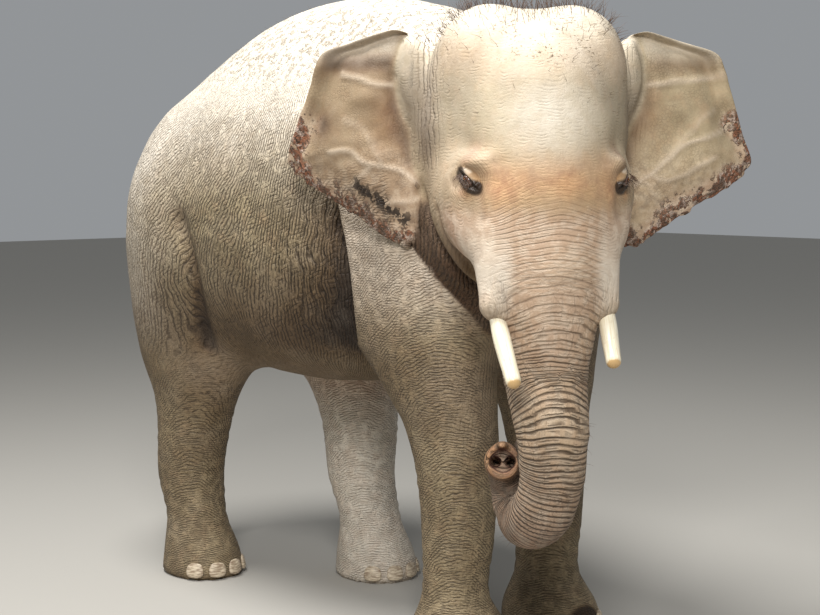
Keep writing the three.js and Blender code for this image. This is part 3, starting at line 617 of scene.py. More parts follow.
# Veins on the front of each ear: points (out, down) in metres from the root's top, and how high they stand.
VEINS = {
    "left": [
        (
            [(0.02, 0.500), (0.065, 0.472), (0.10, 0.450), (0.185, 0.377), (0.29, 0.335), (0.41, 0.290)],
            0.0060,
        ),
        ([(0.08, 0.470), (0.147, 0.486), (0.231, 0.452), (0.33, 0.400)], 0.0048),
        ([(0.05, 0.165), (0.10, 0.153), (0.231, 0.137), (0.37, 0.118)], 0.0055),
        ([(0.06, 0.480), (0.11, 0.550), (0.18, 0.590)], 0.0034),
        ([(0.185, 0.377), (0.26, 0.280), (0.33, 0.235)], 0.0030),
    ],
    "right": [
        ([(-0.03, 0.490), (0.038, 0.445), (0.141, 0.428), (0.219, 0.387), (0.30, 0.384)], 0.0062),
        ([(0.141, 0.432), (0.18, 0.470), (0.240, 0.510)], 0.0048),
        ([(-0.03, 0.538), (0.046, 0.556), (0.11, 0.560)], 0.0048),
        ([(0.05, 0.172), (0.072, 0.163), (0.153, 0.149), (0.26, 0.115)], 0.0060),
        ([(0.10, 0.430), (0.16, 0.330), (0.24, 0.270)], 0.0028),
    ],
}
# The hollow behind the flap at each ear's root, as a line of points (out, down).
EAR_HOLLOW = [(0.06, 0.15), (0.055, 0.24), (0.03, 0.33), (0.00, 0.42)]


def to_line(p, points):
    """The distance from flat points to a line of straight spans."""
    best = np.full(p.shape[:-1], np.inf)
    for a, b in zip(points[:-1], points[1:]):
        a, b = np.array(a), np.array(b)
        t = np.clip((p - a) @ (b - a) / ((b - a) @ (b - a)), 0, 1)
        best = np.minimum(best, length(p - a - t[..., None] * (b - a)))
    return best


def ear_edge(t):
    """The ear's outline as a smooth curve through its points, t being their number."""
    return curve(t, np.arange(len(EAR_EDGE)), EAR_EDGE)


def ear_sheet(side):
    """A sheet over u, from the root to the edge, and v, from the top of the root round the edge to its
    bottom. Its outline is a smooth curve through (out, down), the sheet bows forward, its upper rim
    rolls forward and its lower rim is ragged. Gives the points of the front and back, the place
    (out, down) of each, and how strong a vein is there."""
    nu, nv = EAR_GRID
    u = 1 - (1 - np.linspace(0, 1, nu)) ** 1.25
    v = np.linspace(0, 1, nv)
    edge = ear_edge(v * (len(EAR_EDGE) - 1))
    root = np.stack([-EAR_SLANT * v - EAR_SUNK, EAR_TOP + EAR_DROP * v], -1)
    ragged = ramp(v, 0.42, 0.52) * ramp(v, 0.93, 0.84)
    outline = np.c_[edge, v * 0]
    bite = noise(outline, 0.035, 5 + SIDES[side])
    fine = noise(outline, 0.014, 9 + SIDES[side])
    shrink = ragged * (0.016 * np.maximum(bite, 0) + 0.007 * fine)
    inward = root - edge
    edge = edge + inward / length(inward)[:, None] * shrink[:, None]
    at = root[None] + u[:, None, None] * (edge - root)[None]
    U, V = np.meshgrid(u, v, indexing="ij")
    top = ramp(V, 0.01, 0.06) * ramp(V, 0.50, 0.34)
    spread = np.stack([at[..., 0], at[..., 1], 0 * U], -1).reshape(-1, 3)
    waves = noise(spread, 0.16, 21 + SIDES[side]).reshape(U.shape)
    small = noise(spread, 0.05, 33 + SIDES[side]).reshape(U.shape)
    bow = EAR_BOW * np.sin(math.pi * U) * np.sin(math.pi * V)
    wave = 0.017 * waves * np.sin(math.pi * V) * ramp(U, 0.15, 0.5) + 0.0045 * small * ramp(U, 0.1, 0.3)
    wave = wave + 0.022 * hump(to_line(at, EAR_HOLLOW), 0, 0.032)
    roll = top * ramp(U, 0.86, 1.0)
    lift = -bow + wave - 0.030 * roll + 0.010 * ramp(U, 0.70, 0.86) * ramp(U, 0.97, 0.88) * top
    thick = EAR_THICK["edge"] + (EAR_THICK["root"] - EAR_THICK["edge"]) * (1 - U) ** 2
    thick = thick * (1 + 0.80 * roll) * (1 - 0.35 * ramp(U, 0.93, 1.0))
    vein = np.zeros(U.shape)
    for points, height in VEINS[side]:
        knots = curve(np.linspace(0, len(points) - 1, 24), np.arange(len(points)), points)
        wobble = 0.006 * np.stack([noise(spread, 0.06, 41), noise(spread, 0.06, 42)], -1)
        gap = to_line(at + wobble.reshape(*U.shape, 2), knots)
        vein = np.maximum(vein, height / 0.005 * np.exp(-((gap / 0.0085) ** 2)))
    s = SIDES[side]
    turn = EAR_SWEEP[side]
    grids = []
    for front in (1, -1):
        height = lift - front * thick / 2
        if front > 0:
            height = height - 0.0050 * vein
        q = np.stack(
            [
                s * (EAR_ROOT[0] + at[..., 0] * math.cos(turn) - height * math.sin(turn)),
                EAR_ROOT[1] + at[..., 0] * math.sin(turn) + height * math.cos(turn),
                EAR_ROOT[2] - at[..., 1],
            ],
            -1,
        )
        grids.append(from_head(q))
    return *grids, at, vein


def shell(front, back):
    """The corners and quads of a closed body between two grids of the same shape."""
    nu, nv = front.shape[:2]
    points = np.concatenate([front.reshape(-1, 3), back.reshape(-1, 3)])
    index = np.arange(nu * nv).reshape(nu, nv)
    other = index + nu * nv

    def quads(grid):
        return np.stack([grid[:-1, :-1], grid[1:, :-1], grid[1:, 1:], grid[:-1, 1:]], -1).reshape(-1, 4)

    around = np.concatenate([index[0], index[1:, -1], index[-1, -2::-1], index[-2:0:-1, 0]])
    beyond = np.concatenate([other[0], other[1:, -1], other[-1, -2::-1], other[-2:0:-1, 0]])
    rim = np.stack([around, np.roll(around, -1), np.roll(beyond, -1), beyond], -1)
    return points, np.concatenate([quads(index), quads(other)[:, ::-1], rim])


def volume(points, faces):
    """The signed volume inside quads, by the divergence theorem."""
    a, b, c, d = (points[faces[:, k]] for k in range(4))
    return ((np.cross(b - a, c - a) * a).sum() + (np.cross(c - a, d - a) * a).sum()) / 6


def new_mesh(name, points, faces):
    """A mesh of these corners and faces, turned to face outward."""
    faces = np.asarray(faces)
    if volume(points, faces) < 0:
        faces = faces[:, ::-1]
    mesh = bpy.data.meshes.new(name)
    mesh.from_pydata(points.tolist(), [], faces.tolist())
    return mesh


def new_object(name, mesh):
    """An object in the scene that shows a mesh."""
    thing = bpy.data.objects.new(name, mesh)
    bpy.context.scene.collection.objects.link(thing)
    return thing


def set_points(mesh, points):
    """Moves a mesh's corners to these places."""
    mesh.vertices.foreach_set("co", np.ascontiguousarray(points, np.float32).ravel())
    mesh.update()


def numbers_of(items, key, wide=1, kind=np.int32):
    """What a mesh's corners, edges or faces hold under a key, a row for each where they hold several."""
    flat = np.empty(len(items) * wide, kind)
    items.foreach_get(key, flat)
    return flat.reshape(-1, wide) if wide > 1 else flat


def get_points(mesh):
    """A mesh's corners, as rows."""
    return numbers_of(mesh.vertices, "co", 3, np.float32).astype(float)


def get_normals(mesh):
    """The outward direction at each corner."""
    return numbers_of(mesh.vertex_normals, "vector", 3, np.float32).astype(float)


def smooth(points, edges, weight, rounds):
    """Each point moved, by its weight, to the mean of its neighbours, some rounds over."""
    count = np.zeros(len(points))
    for k in range(2):
        np.add.at(count, edges[:, k], 1)
    for _ in range(rounds):
        total = np.zeros_like(points)
        np.add.at(total, edges[:, 0], points[edges[:, 1]])
        np.add.at(total, edges[:, 1], points[edges[:, 0]])
        points = points + weight[:, None] * (total / count[:, None] - points)
    return points


def nearest_row(p, rows, batch=400):
    """For each of p the index of the nearest of rows and the distance to it, worked out batch by batch."""
    index = np.zeros(len(p), int)
    gap = np.zeros(len(p))
    for start in range(0, len(p), batch):
        some = slice(start, start + batch)
        part = p[some]
        d2 = (part * part).sum(1)[:, None] - 2 * part @ rows.T + (rows * rows).sum(1)
        index[some] = d2.argmin(1)
        gap[some] = np.sqrt(np.maximum(d2.min(1), 0))
    return index, gap


def drop_idle_corners(mesh):
    """Takes out the corners where only two edges meet, which the join leaves along its cut."""
    work = bmesh.new()
    work.from_mesh(mesh)
    idle = [corner for corner in work.verts if len(corner.link_edges) == 2]
    bmesh.ops.dissolve_verts(work, verts=idle)
    work.to_mesh(mesh)
    work.free()


def join_ears(body):
    """Joins both ears to the body as one mesh. Gives the ears' corners and, for each, its place (out,
    down) and how strong a vein is there."""
    rows, places, veins = [], [], []
    for side in SIDES:
        front, back, at, vein = ear_sheet(side)
        points, faces = shell(front, back)
        join = body.modifiers.new("join_" + side, "BOOLEAN")
        join.operation = "UNION"
        join.solver = "MANIFOLD"
        join.object = new_object("ear_tool_" + side, new_mesh("ear_tool_" + side, points, faces))
        rows.append(points)
        places.append(np.concatenate([at.reshape(-1, 2)] * 2))
        veins.append(np.concatenate([vein.ravel(), 0 * vein.ravel()]))
    depsgraph = bpy.context.evaluated_depsgraph_get()
    joined = bpy.data.meshes.new_from_object(body.evaluated_get(depsgraph))
    drop_idle_corners(joined)
    body.modifiers.clear()
    body.data = joined
    for side in SIDES:
        bpy.data.objects.remove(bpy.data.objects["ear_tool_" + side])
    return np.concatenate(rows), np.concatenate(places), np.concatenate(veins)


def make_skin():
    """The flesh and the ears as one closed mesh, the ears' roots smoothed in, and per corner the ears'
    place (out, down), their veins and a mask that is 1 on the ears."""
    body = new_object("skin", make_flesh())
    rows, places, veins = join_ears(body)
    p = get_points(body.data)
    beside = (np.abs(to_head(p)[:, 0]) > 0.22) & (length(p - EYES_AT) < 1.3)
    off_flesh = np.full(len(p), 1.0)
    off_flesh[beside] = flesh(p[beside])
    ear, near_ear, vein = (np.zeros(len(p)) for _ in range(3))
    place = np.zeros((len(p), 2))
    index, gap = nearest_row(p[beside], rows)
    ear[beside] = ramp(gap, 0.016, 0.004) * ramp(off_flesh[beside], 0.0, 0.02)
    near_ear[beside] = ramp(gap, 0.05, 0.012)
    vein[beside] = veins[index] * ear[beside]
    place[beside] = places[index]
    seam = near_ear * ramp(np.abs(off_flesh), 0.045, 0.012)
    edges = numbers_of(body.data.edges, "vertices", 2)
    set_points(body.data, smooth(p, edges, 0.7 * seam, 14))
    ear = smooth(ear[:, None], edges, 0.8 * near_ear, 4)[:, 0]
    return body, {"ear": ear, "place": place, "vein": vein}


# ---------------------------------------------------------------- folds, markings, painted light and shade, and lie of the hide
RING_WAY = [0.00, 0.12, 0.20, 0.45, 0.70, 0.90, 1.20, 1.60]
RING_STEP = [0.0175, 0.0205, 0.0255, 0.0235, 0.0190, 0.0165, 0.0140, 0.0115]
# Creases of the face, on both sides: points in the head's axes, half width, depth and darkness: painted shade
# in the crease, and on the tears' way a stain.
CREASES = [
    # behind the cheek and under the jaw, where the head stands off the neck
    (
        [(0.376, 0.38, -0.02), (0.368, 0.325, -0.06), (0.348, 0.272, -0.13), (0.312, 0.236, -0.215)]
        + [(0.262, 0.224, -0.300), (0.182, 0.248, -0.376), (0.12, 0.29, -0.45)],
        0.024,
        0.040,
        1.6,
    ),
    # a second fold inside it
    (
        [(0.316, 0.140, -0.10), (0.288, 0.145, -0.18), (0.243, 0.152, -0.258), (0.182, 0.185, -0.320)],
        0.013,
        0.010,
        0.7,
    ),
    # between the cheek and the tusk's sheath
    (
        [(0.250, 0.110, -0.200), (0.225, 0.135, -0.260), (0.190, 0.18, -0.345), (0.14, 0.22, -0.43)],
        0.020,
        0.010,
        1.0,
    ),
    # the tears' way down from the eye's inner corner
    ([(0.225, -0.080, -0.032), (0.214, -0.104, -0.075), (0.208, -0.118, -0.115)], 0.018, 0.004, 0.5),
    # over the upper lid
    ([(0.292, 0.045, 0.040), (0.280, 0.000, 0.046), (0.256, -0.052, 0.030)], 0.007, 0.005, 0.8),
    # from the lower lid down the cheek
    ([(0.292, 0.045, 0.020), (0.282, 0.015, -0.030), (0.268, -0.010, -0.075)], 0.006, 0.003, 0.4),
]
# Creases of the body: the sides they are on, points in the animal's frame on its right side, half width,
# depth and the darkness of the painted shade in the crease.
BODY_CREASES = [
    # the foreleg against the flank
    (
        ("right", "left"),
        [(-0.520, -0.335, 1.66), (-0.512, -0.362, 1.56), (-0.505, -0.380, 1.44), (-0.492, -0.386, 1.33)]
        + [(-0.470, -0.384, 1.22), (-0.440, -0.372, 1.12)],
        0.020,
        0.040,
        1.0,
    ),
    # the shoulder against the neck
    (
        ("right", "left"),
        [(-0.490, -0.690, 1.54), (-0.488, -0.735, 1.45), (-0.478, -0.800, 1.38), (-0.450, -0.860, 1.31)]
        + [(-0.390, -0.890, 1.24), (-0.320, -0.900, 1.17)],
        0.022,
        0.022,
        1.2,
    ),
    # the thigh against the flank
    (
        ("right",),
        [(-0.575, 0.52, 1.52), (-0.570, 0.465, 1.39)]
        + [(-0.550, 0.455, 1.27), (-0.500, 0.495, 1.14), (-0.42, 0.55, 1.01)],
        0.042,
        0.026,
        0.9,
    ),
    (
        ("left",),
        [(-0.575, 0.40, 1.52), (-0.570, 0.305, 1.39)]
        + [(-0.545, 0.240, 1.27), (-0.495, 0.195, 1.14), (-0.42, 0.14, 1.03)],
        0.042,
        0.026,
        0.9,
    ),
]
AT_FORELEG, AT_SHOULDER = BODY_CREASES[:2]
# Where tears wet the hide below each eye, in the head's axes.
TEAR_WAY = [(0.238, -0.080, -0.035), (0.226, -0.104, -0.080), (0.218, -0.112, -0.115)]
# The cheek's rear edge, in the head's axes: levels and how far back it is there.
CHEEK_RIM = [-0.45, -0.375, -0.30, -0.215, -0.13], [0.275, 0.240, 0.216, 0.228, 0.262]


def near_line(q, points, reach):
    """How near points are to a smooth line: 1 on it, falling off over the reach."""
    knots = curve(np.linspace(0, len(points) - 1, 20), np.arange(len(points)), points)
    return np.exp(-((to_line(q, knots) / reach) ** 2))


def near_body_crease(p, sides, points, reach):
    """near_line for a crease of the body, on each of its sides."""
    return np.max([near_line(p * (-SIDES[side], 1, 1), points, reach) for side in sides], axis=0)


class Marks:
    """For points p of the animal's frame with their outward directions n: how the hide lies, its folds,
    its markings and the painted light and shade on it."""

    def __init__(self, p, n, extra):
        self.p, self.n = p, n
        self.q = to_head(p)
        self.mirrored = self.q * np.where(self.q[:, :1] < 0, -1, 1) ** np.array([1, 0, 0])
        self.ear, self.place, self.vein = extra["ear"], extra["place"], extra["vein"]
        self.reach, self.way = trunk_line.nearest(p)
        _, y, z = p.T
        low = self.q[:, 2]
        self.on_head = ramp(length((self.q - (0, 0.25, 0.10)) / (1.0, 1.0, 1.15)), 0.75, 0.52)
        self.on_trunk = ramp(self.reach, 0.05, 0.02) * ramp(low, -0.22, -0.36) * (1 - self.ear)
        sheath = ramp(rod(self.mirrored, *SHEATH[:4]), -0.01, 0.02)
        self.on_trunk *= np.where(low > -0.43, sheath, 1)
        self.on_legs = ramp(z, 1.15, 0.75) * ramp(self.reach, 0.03, 0.10)
        self.on_tail = ramp(tail_line.nearest(p)[0], 0.06, 0.02) * ramp(y, 1.10, 1.20)
        self.hatched = np.maximum(self.on_legs, self.on_shoulder())

    def lie(self):
        """Coordinates along the hide: the animal's own but on the trunk, which is straightened so that
        z runs along it."""
        centre, _, way = trunk_line.at(self.way)
        off = self.p - centre
        back = np.cross(TRUNK_SIDE, way)
        back /= length(back)[:, None]
        straight = trunk_line.points[0] - self.way[:, None] * (0, 0, 1)
        straight = straight + (off @ TRUNK_SIDE)[:, None] * TRUNK_SIDE
        straight = straight + (off * back).sum(1)[:, None] * -TRUNK_BACK
        return self.p + (straight - self.p) * self.on_trunk[:, None]

    def rings(self):
        """The folds across the trunk: a phase that rises by one from fold to fold down the trunk, and how
        deep they are. Each fold arches up over the middle of the trunk."""
        q = self.q
        side = (self.p - trunk_line.at(self.way)[0]) @ TRUNK_SIDE
        head_share = ramp(q[:, 2], -0.30, -0.12)
        down = head_share * -q[:, 2] + (1 - head_share) * (self.way + 0.10)
        across = head_share * q[:, 0] + (1 - head_share) * side
        down = down - 1.9 * across**2 / (1 + 9 * across**2)
        down = down + 0.012 * noise(self.p, 0.16, 3) + 0.004 * noise(self.p, 0.05, 4)
        table = np.linspace(-0.2, 2.2, 241)
        turns = np.cumsum(1 / np.interp(table, RING_WAY, RING_STEP)) * (table[1] - table[0])
        phase = np.interp(down, table, turns)
        wide = 0.040 * ramp(q[:, 2], -0.15, -0.30)
        front = ramp(self.mirrored[:, 0], 0.225 - wide, 0.150 - wide) * ramp(q[:, 1], 0.16, 0.04)
        upper = front * ramp(q[:, 2], 0.03, -0.03) * (0.30 + 0.70 * ramp(q[:, 2], -0.06, -0.13))
        depth = np.maximum(upper * ramp(q[:, 2], -0.50, -0.36), self.on_trunk)
        return phase, depth * (1 - self.ear) * (0.45 + 0.55 * ramp(self.way, 0.22, 0.50))

    def folds(self):
        """Folds down the neck, the temples and the flank behind the foreleg: a phase and how deep."""
        x, y, z = self.p.T
        bend = 0.05 * noise(self.p, (0.25, 0.25, 0.5), 7)
        phase = (y + 0.10 * z + bend) / 0.043
        neck_share = hump(y, -0.86, 0.16) * ramp(z, 1.15, 1.4) * ramp(z, 2.25, 2.0) * (1 - self.on_head)
        flank = ramp(y, -0.41, -0.36) * ramp(y, 0.02, -0.18) * ramp(z, 0.98, 1.10) * ramp(z, 1.80, 1.50)
        flank = flank * ramp(np.abs(x), 0.30, 0.42)
        rear = hump(y, 0.42, 0.12) * ramp(z, 0.95, 1.05) * ramp(z, 1.60, 1.35) * ramp(np.abs(x), 0.35, 0.45)
        temple_phase = (self.mirrored[:, 0] + 0.25 * self.q[:, 1] + 0.3 * bend) / 0.017
        temple = hump(self.mirrored[:, 0], 0.328, 0.036) * ramp(self.q[:, 2], -0.02, 0.08)
        temple = temple * ramp(self.q[:, 2], 0.52, 0.42) * ramp(self.q[:, 1], 0.12, 0.24)
        temple = temple * ramp(self.q[:, 1], 0.62, 0.52) * ramp(self.ear, 0.35, 0.02)
        root_phase = self.place[:, 0] / 0.014 + 0.6 * noise(self.p, 0.05, 8)
        root = self.ear * ramp(self.place[:, 0], 0.13, 0.05) * ramp(self.place[:, 1], 0.02, 0.06)
        root = root * ramp(self.place[:, 1], 0.50, 0.30) * ramp(self.ear, 0.65, 0.98)
        eyes = from_eyes(self.p)
        rings = self.on_head * ramp(eyes, 0.034, 0.045) * ramp(eyes, 0.115, 0.07)
        depth = neck_share + flank + 0.6 * rear
        phase = np.where(temple > 0.02, temple_phase, phase)
        depth = np.where(temple > 0.02, 0.62 * temple, depth * (1 - self.ear))
        phase = np.where(rings > 0.01, eyes / 0.0095 + 0.8 * noise(self.p, 0.03, 28), phase)
        depth = np.where(rings > 0.01, 0.15 * rings, depth)
        phase = np.where(self.ear > 0.5, root_phase, phase)
        depth = np.where(self.ear > 0.5, 0.16 * root, depth * ramp(self.ear, 0.35, 0.02))
        return phase, np.clip(depth, 0, 1)

    def wraps(self):
        """Fine wrinkles down the sides of the body: a phase from the way round an upright cylinder with
        an elliptical section, and how clear they are."""
        x, y, z = self.p.T
        turn = np.linspace(0, math.pi, 181)
        step = np.hypot(0.55 * np.cos(turn), 1.05 * np.sin(turn)) * (turn[1] - turn[0])
        way = np.interp(np.arctan2(np.abs(x) / 0.55, -y / 1.05), turn, np.cumsum(step))
        lean = 0.10 + 0.36 * ramp(y, -0.30, 0.25)
        phase = (way + lean * (z - 1.35) + 0.05 * noise(self.p, 0.35, 27)) / 0.0165
        clear = (1 - self.on_head) * (1 - self.ear) * (1 - self.on_trunk) * ramp(self.n[:, 2], 0.93, 0.70)
        clear = clear * (1 - 0.60 * ramp(z, 1.85, 2.12)) * ramp(np.abs(x), 0.0, 0.02)
        clear = clear * (1 - 0.85 * self.hatched) * (1 - self.on_tail)
        return phase, np.maximum(clear, 0.9 * self.throat() + 0.35 * self.jaw())

    def past(self, crease):
        """How far behind a crease of the body points are, at their own height."""
        levels, line = zip(*[(at[2], at[1]) for at in crease[1]][::-1])
        return self.p[:, 1] - np.interp(self.p[:, 2], levels, line)

    def on_shoulder(self):
        """1 on each shoulder and upper foreleg, in front of the flank and behind the neck."""
        x, _, z = self.p.T
        inside = ramp(self.past(AT_FORELEG), 0.010, -0.020) * ramp(self.past(AT_SHOULDER), -0.020, 0.010)
        return inside * ramp(z, 1.78, 1.60) * ramp(z, 0.60, 0.90) * ramp(np.abs(x), 0.20, 0.32)

    def jaw(self):
        """1 on the back of each cheek and along the jaw."""
        away = length((self.mirrored - (0.285, 0.195, -0.22)) / (1, 1, 1.5))
        return hump(away, 0, 0.15) * (1 - self.throat()) * (1 - self.ear)

    def behind_foreleg(self, fall):
        """1 on the flank just behind the line where each foreleg stands off it, dying out over `fall`."""
        x, _, z = self.p.T
        past_it = self.past(AT_FORELEG)
        share = ramp(past_it, -0.008, 0.012) * np.exp(-np.maximum(past_it, 0) / fall)
        return share * ramp(z, 1.00, 1.12) * ramp(z, 1.78, 1.50) * ramp(np.abs(x), 0.20, 0.34)

    def throat(self):
        """1 on the neck between the cheek and the shoulder's crease."""
        before_shoulder = ramp(self.past(AT_SHOULDER), 0.010, -0.012)
        cheek = np.interp(self.q[:, 2], *CHEEK_RIM)
        behind_cheek = ramp(self.q[:, 1] - cheek, -0.005, 0.015)
        level = ramp(self.p[:, 2], 1.66, 1.54)
        return before_shoulder * behind_cheek * level * ramp(self.reach, 0.02, 0.06) * (1 - self.ear)

    def creases(self, share=1.0):
        """For each crease how near to it points are, its width taken times share, its depth and darkness:
        painted shade in the crease, and a stain on the tears' way.
        """
        for points, reach, deep, shade in CREASES:
            yield near_line(self.mirrored, points, share * reach), deep, shade
        for sides, points, reach, deep, shade in BODY_CREASES:
            yield near_body_crease(self.p, sides, points, share * reach), deep, shade

    def displacement(self):
        """How far each point moves out: low lumps everywhere, broad folds and the creases."""
        p = self.p
        calm = (1 - self.ear) * ramp(p[:, 2], 0.03, 0.12)
        calm = calm * ramp(from_eyes(p), 0.05, 0.11) * ramp(length(p - TIP), 0.06, 0.12)
        calm = calm * (1 - 0.6 * self.on_tail)
        on_body = (1 - self.on_head) * (1 - self.on_trunk) * (1 - self.on_legs)
        d = 0.0055 * on_body * noise(p, (0.24, 0.34, 0.34), 11) + 0.0022 * noise(p, 0.085, 12)
        d = d + 0.0022 * self.on_trunk * noise(self.lie(), (0.10, 0.10, 0.032), 13)
        phase, depth = self.folds()
        wide = np.where((self.ear < 0.01) & (self.on_head < 0.5), depth, 0) * ramp(p[:, 1], -0.10, -0.18)
        d = d + 0.0090 * wide * (np.abs(np.sin(math.pi * phase)) ** 0.6 - 0.7)
        wrist = self.on_legs * (hump(p[:, 2], 0.30, 0.10) + hump(p[:, 2], 0.62, 0.10))
        d = d + 0.0022 * wrist * np.sin(2 * math.pi * (p[:, 2] + 0.02 * noise(p, 0.12, 14)) / 0.055)
        d = d * calm
        for near, deep, _ in self.creases():
            d = d - deep * near * (1 - self.ear)
        d = d - 0.034 * self.behind_foreleg(0.13) * calm
        return d

    def about_lids(self):
        """Markings about the eyes: the upper lid's edge, painted shade on the lid over the eye, the wet rim
        with painted shadow of the lids and lashes, and the pouch under the eye."""
        lid, lid_shade, rim, pouch = (np.zeros(len(self.p)) for _ in range(4))
        for side, spot in EYE_SPOTS.items():
            place = (self.p - spot) @ EYE_AXES[side].T
            _, inner, up = place.T
            arc = length(place / (1, 1.7, 1))
            lid += hump(arc, 0.0305, 0.0045) * ramp(up, 0.013, 0.019) * ramp(inner, 0.006, -0.008)
            # The wet rim, painted dark also as the shadow of the lids and lashes.
            rim += ramp(length(place / (1, 2.0, 0.95)), 0.040, 0.030) * ramp(up, 0.024, 0.018)
            pouch += hump(length((place - (0, 0.014, -0.036)) / (1, 1.5, 1)), 0, 0.023)
            # Painted shade on the lid over the eye, which also keeps dust and pale off it.
            lid_shade += ramp(arc, 0.041, 0.033) * ramp(up, 0.006, 0.014)
        return np.minimum(lid, 1), np.minimum(lid_shade, 1), np.minimum(rim, 1), pouch

    def tones(self):
        """Markings and painted light and shade: dust with painted light on top, warm brown stain, pale pink
        with the far hind leg painted as if sunlit, dark with painted shade, crust, wet with painted shadow
        round the eyes, and the inside of the nostrils.
        """
        p, n, q, m = self.p, self.n, self.q, self.mirrored
        x, y, z = p.T
        up = n[:, 2]
        patch, small = noise(p, 0.30, 17), noise(p, 0.10, 18)
        off_ear = 1 - self.ear
        # Dust on the upward faces high on the body, and painted light: the upper sides lighter with height,
        # partly dust and partly painted light, and the rump lighter where it faces back.
        dust_and_highlight = ramp(up, 0.15, 0.90) * ramp(z, 1.55, 2.05)
        rump_light = ramp(n[:, 1], -0.45, 0.40) * ramp(z, 0.85, 1.50) * ramp(y, 0.40, 0.90)
        dust_and_highlight = dust_and_highlight + 0.90 * ramp(z, 1.50, 2.10) * off_ear + 0.75 * rump_light + 0.14 * patch + 0.06 * small
        crown = self.on_head * ramp(q[:, 2], 0.26, 0.50)
        # A painted highlight on the forehead, in the dust colour.
        forehead_highlight = self.on_head * hump(q[:, 0], 0, 0.20) * hump(q[:, 2], 0.20, 0.14) * ramp(q[:, 1], 0.3, 0.0)
        sheath = ramp(m[:, 0], 0.115, 0.16) * hump(q[:, 2], -0.29, 0.12) * ramp(q[:, 1], 0.06, -0.02)
        dust_and_highlight = np.maximum(dust_and_highlight * (1 - 0.6 * self.on_head), 0.22 * crown + 0.10 * small)
        dust_and_highlight = np.maximum(dust_and_highlight, 0.78 * forehead_highlight)
        dust_and_highlight = np.maximum(dust_and_highlight, 0.70 * sheath * off_ear)
        upper_rim = self.ear * ramp(self.place[:, 1], 0.10, 0.02) * ramp(self.place[:, 0], 0.02, 0.08)
        dust_and_highlight = np.maximum(dust_and_highlight * (1 - 0.75 * self.ear), 0.45 * upper_rim)
        # The far hind leg, painted pale and dusty as if in sunlight: painted light.
        hind_left = ramp(x, 0.02, 0.10) * ramp(y, 0.0, 0.15) * ramp(z, 1.10, 0.80)
        dust_and_highlight = np.maximum(dust_and_highlight, hind_left * ramp(z, 0.95, 0.65))
        lid, lid_shade, wet_rim_and_shadow, pouch = self.about_lids()
        dust_and_highlight = np.maximum(dust_and_highlight * (1 - lid_shade), 0.55 * lid)

        band = hump(q[:, 2], -0.01, 0.085) * ramp(m[:, 0], 0.25, 0.17) * ramp(q[:, 1], 0.10, -0.02)
        about_eye = hump(from_eyes(p), 0.045, 0.05) * self.on_head
        upper = 0.45 * hump(q[:, 2], 0.40, 0.09) * self.on_head * ramp(q[:, 1], 0.3, 0.1)
        brow = hump(length(m - (0.235, -0.03, 0.080)), 0, 0.045)
        throat = self.throat()
        warm = band * (1.00 + 0.50 * small) + 0.20 * about_eye + upper + 0.45 * brow + 0.14 * throat
        warm = warm + 0.8 * pouch + 0.10 * patch

        out, down = self.place.T
        margin = self.ear_margin()
        cheek = hump(length((m - (0.285, 0.09, -0.08)) / (1, 1, 1.4)), 0, 0.12) * off_ear
        snout = ramp(q[:, 2], -0.05, -0.14) * ramp(q[:, 1], 0.16, 0.04) * ramp(self.way, 0.75, 0.40)
        snout = snout * np.maximum(self.on_head, self.on_trunk)
        shoulder = self.on_shoulder() * ramp(z, 1.10, 1.40) * (1 - throat) * off_ear
        dust_and_highlight = np.maximum(dust_and_highlight, 0.50 * shoulder)
        # 1.60 * hind_left is painted light on the far hind leg; the rest is pale hide.
        pale_and_lit = 1.60 * hind_left + 0.60 * shoulder + self.ear * (0.65 * margin + 0.30 * ramp(down, 0.30, 0.55))
        pale_and_lit = pale_and_lit + off_ear * (0.85 * snout + 0.60 * self.on_trunk * (1 - snout) + 0.40 * cheek)
        pale_and_lit = pale_and_lit * (1 - lid_shade)
        pale_and_lit = pale_and_lit + 0.10 * self.ear * (1 - margin)

        flank_side = 1 - np.maximum(np.maximum(self.on_legs, snout), np.maximum(self.on_head, self.on_trunk))
        dark_and_shade = 1.20 * self.on_trunk * ramp(self.way, 0.60, 1.15) + 0.50 * self.on_legs * (1 - hind_left)
        # Painted shade: darker towards the bottom of the flanks, and where the hide faces down.
        dark_and_shade = dark_and_shade + 0.70 * ramp(z, 1.55, 1.05) * flank_side + 0.30 * ramp(up, 0.1, -0.7)
        # Painted shade on the flank just behind each foreleg.
        dark_and_shade = dark_and_shade + 1.0 * self.behind_foreleg(0.10) + 0.55 * self.behind_foreleg(0.30)
        # 2.0 * throat is painted shade on the neck behind the cheek. The patches, brow and pouch are the
        # hide's own colour.
        dark_and_shade = dark_and_shade + 0.10 * patch + 2.0 * throat + 0.80 * brow + 0.6 * pouch
        # Painted shade on the lid over the eye.
        dark_and_shade = dark_and_shade + 0.55 * lid_shade * (1 - lid)
        temples = hump(length((m - (0.34, 0.26, 0.22)) / (1, 1, 3.0)), 0, 0.085) * off_ear
        # root marks where painted shade goes in the hollow at each ear's root.
        root = hump(length((m - (0.385, 0.36, 0.10)) / (1, 1.6, 4.0)), 0, 0.06)
        # The jaw term is painted shade under the jaw, darker towards its bottom.
        dark_and_shade = dark_and_shade + 1.05 * temples + 0.55 * root * off_ear + self.jaw() * ramp(q[:, 2], -0.05, -0.35)
        # Painted shade in the creases, and the stain along the tears' way.
        for near, _, shade in self.creases(0.9):
            dark_and_shade = dark_and_shade + shade * near * off_ear
        on_right = q[:, 0] < 0
        smudge = hump(length(self.place - (0.34, 0.29)), 0, 0.05) * on_right
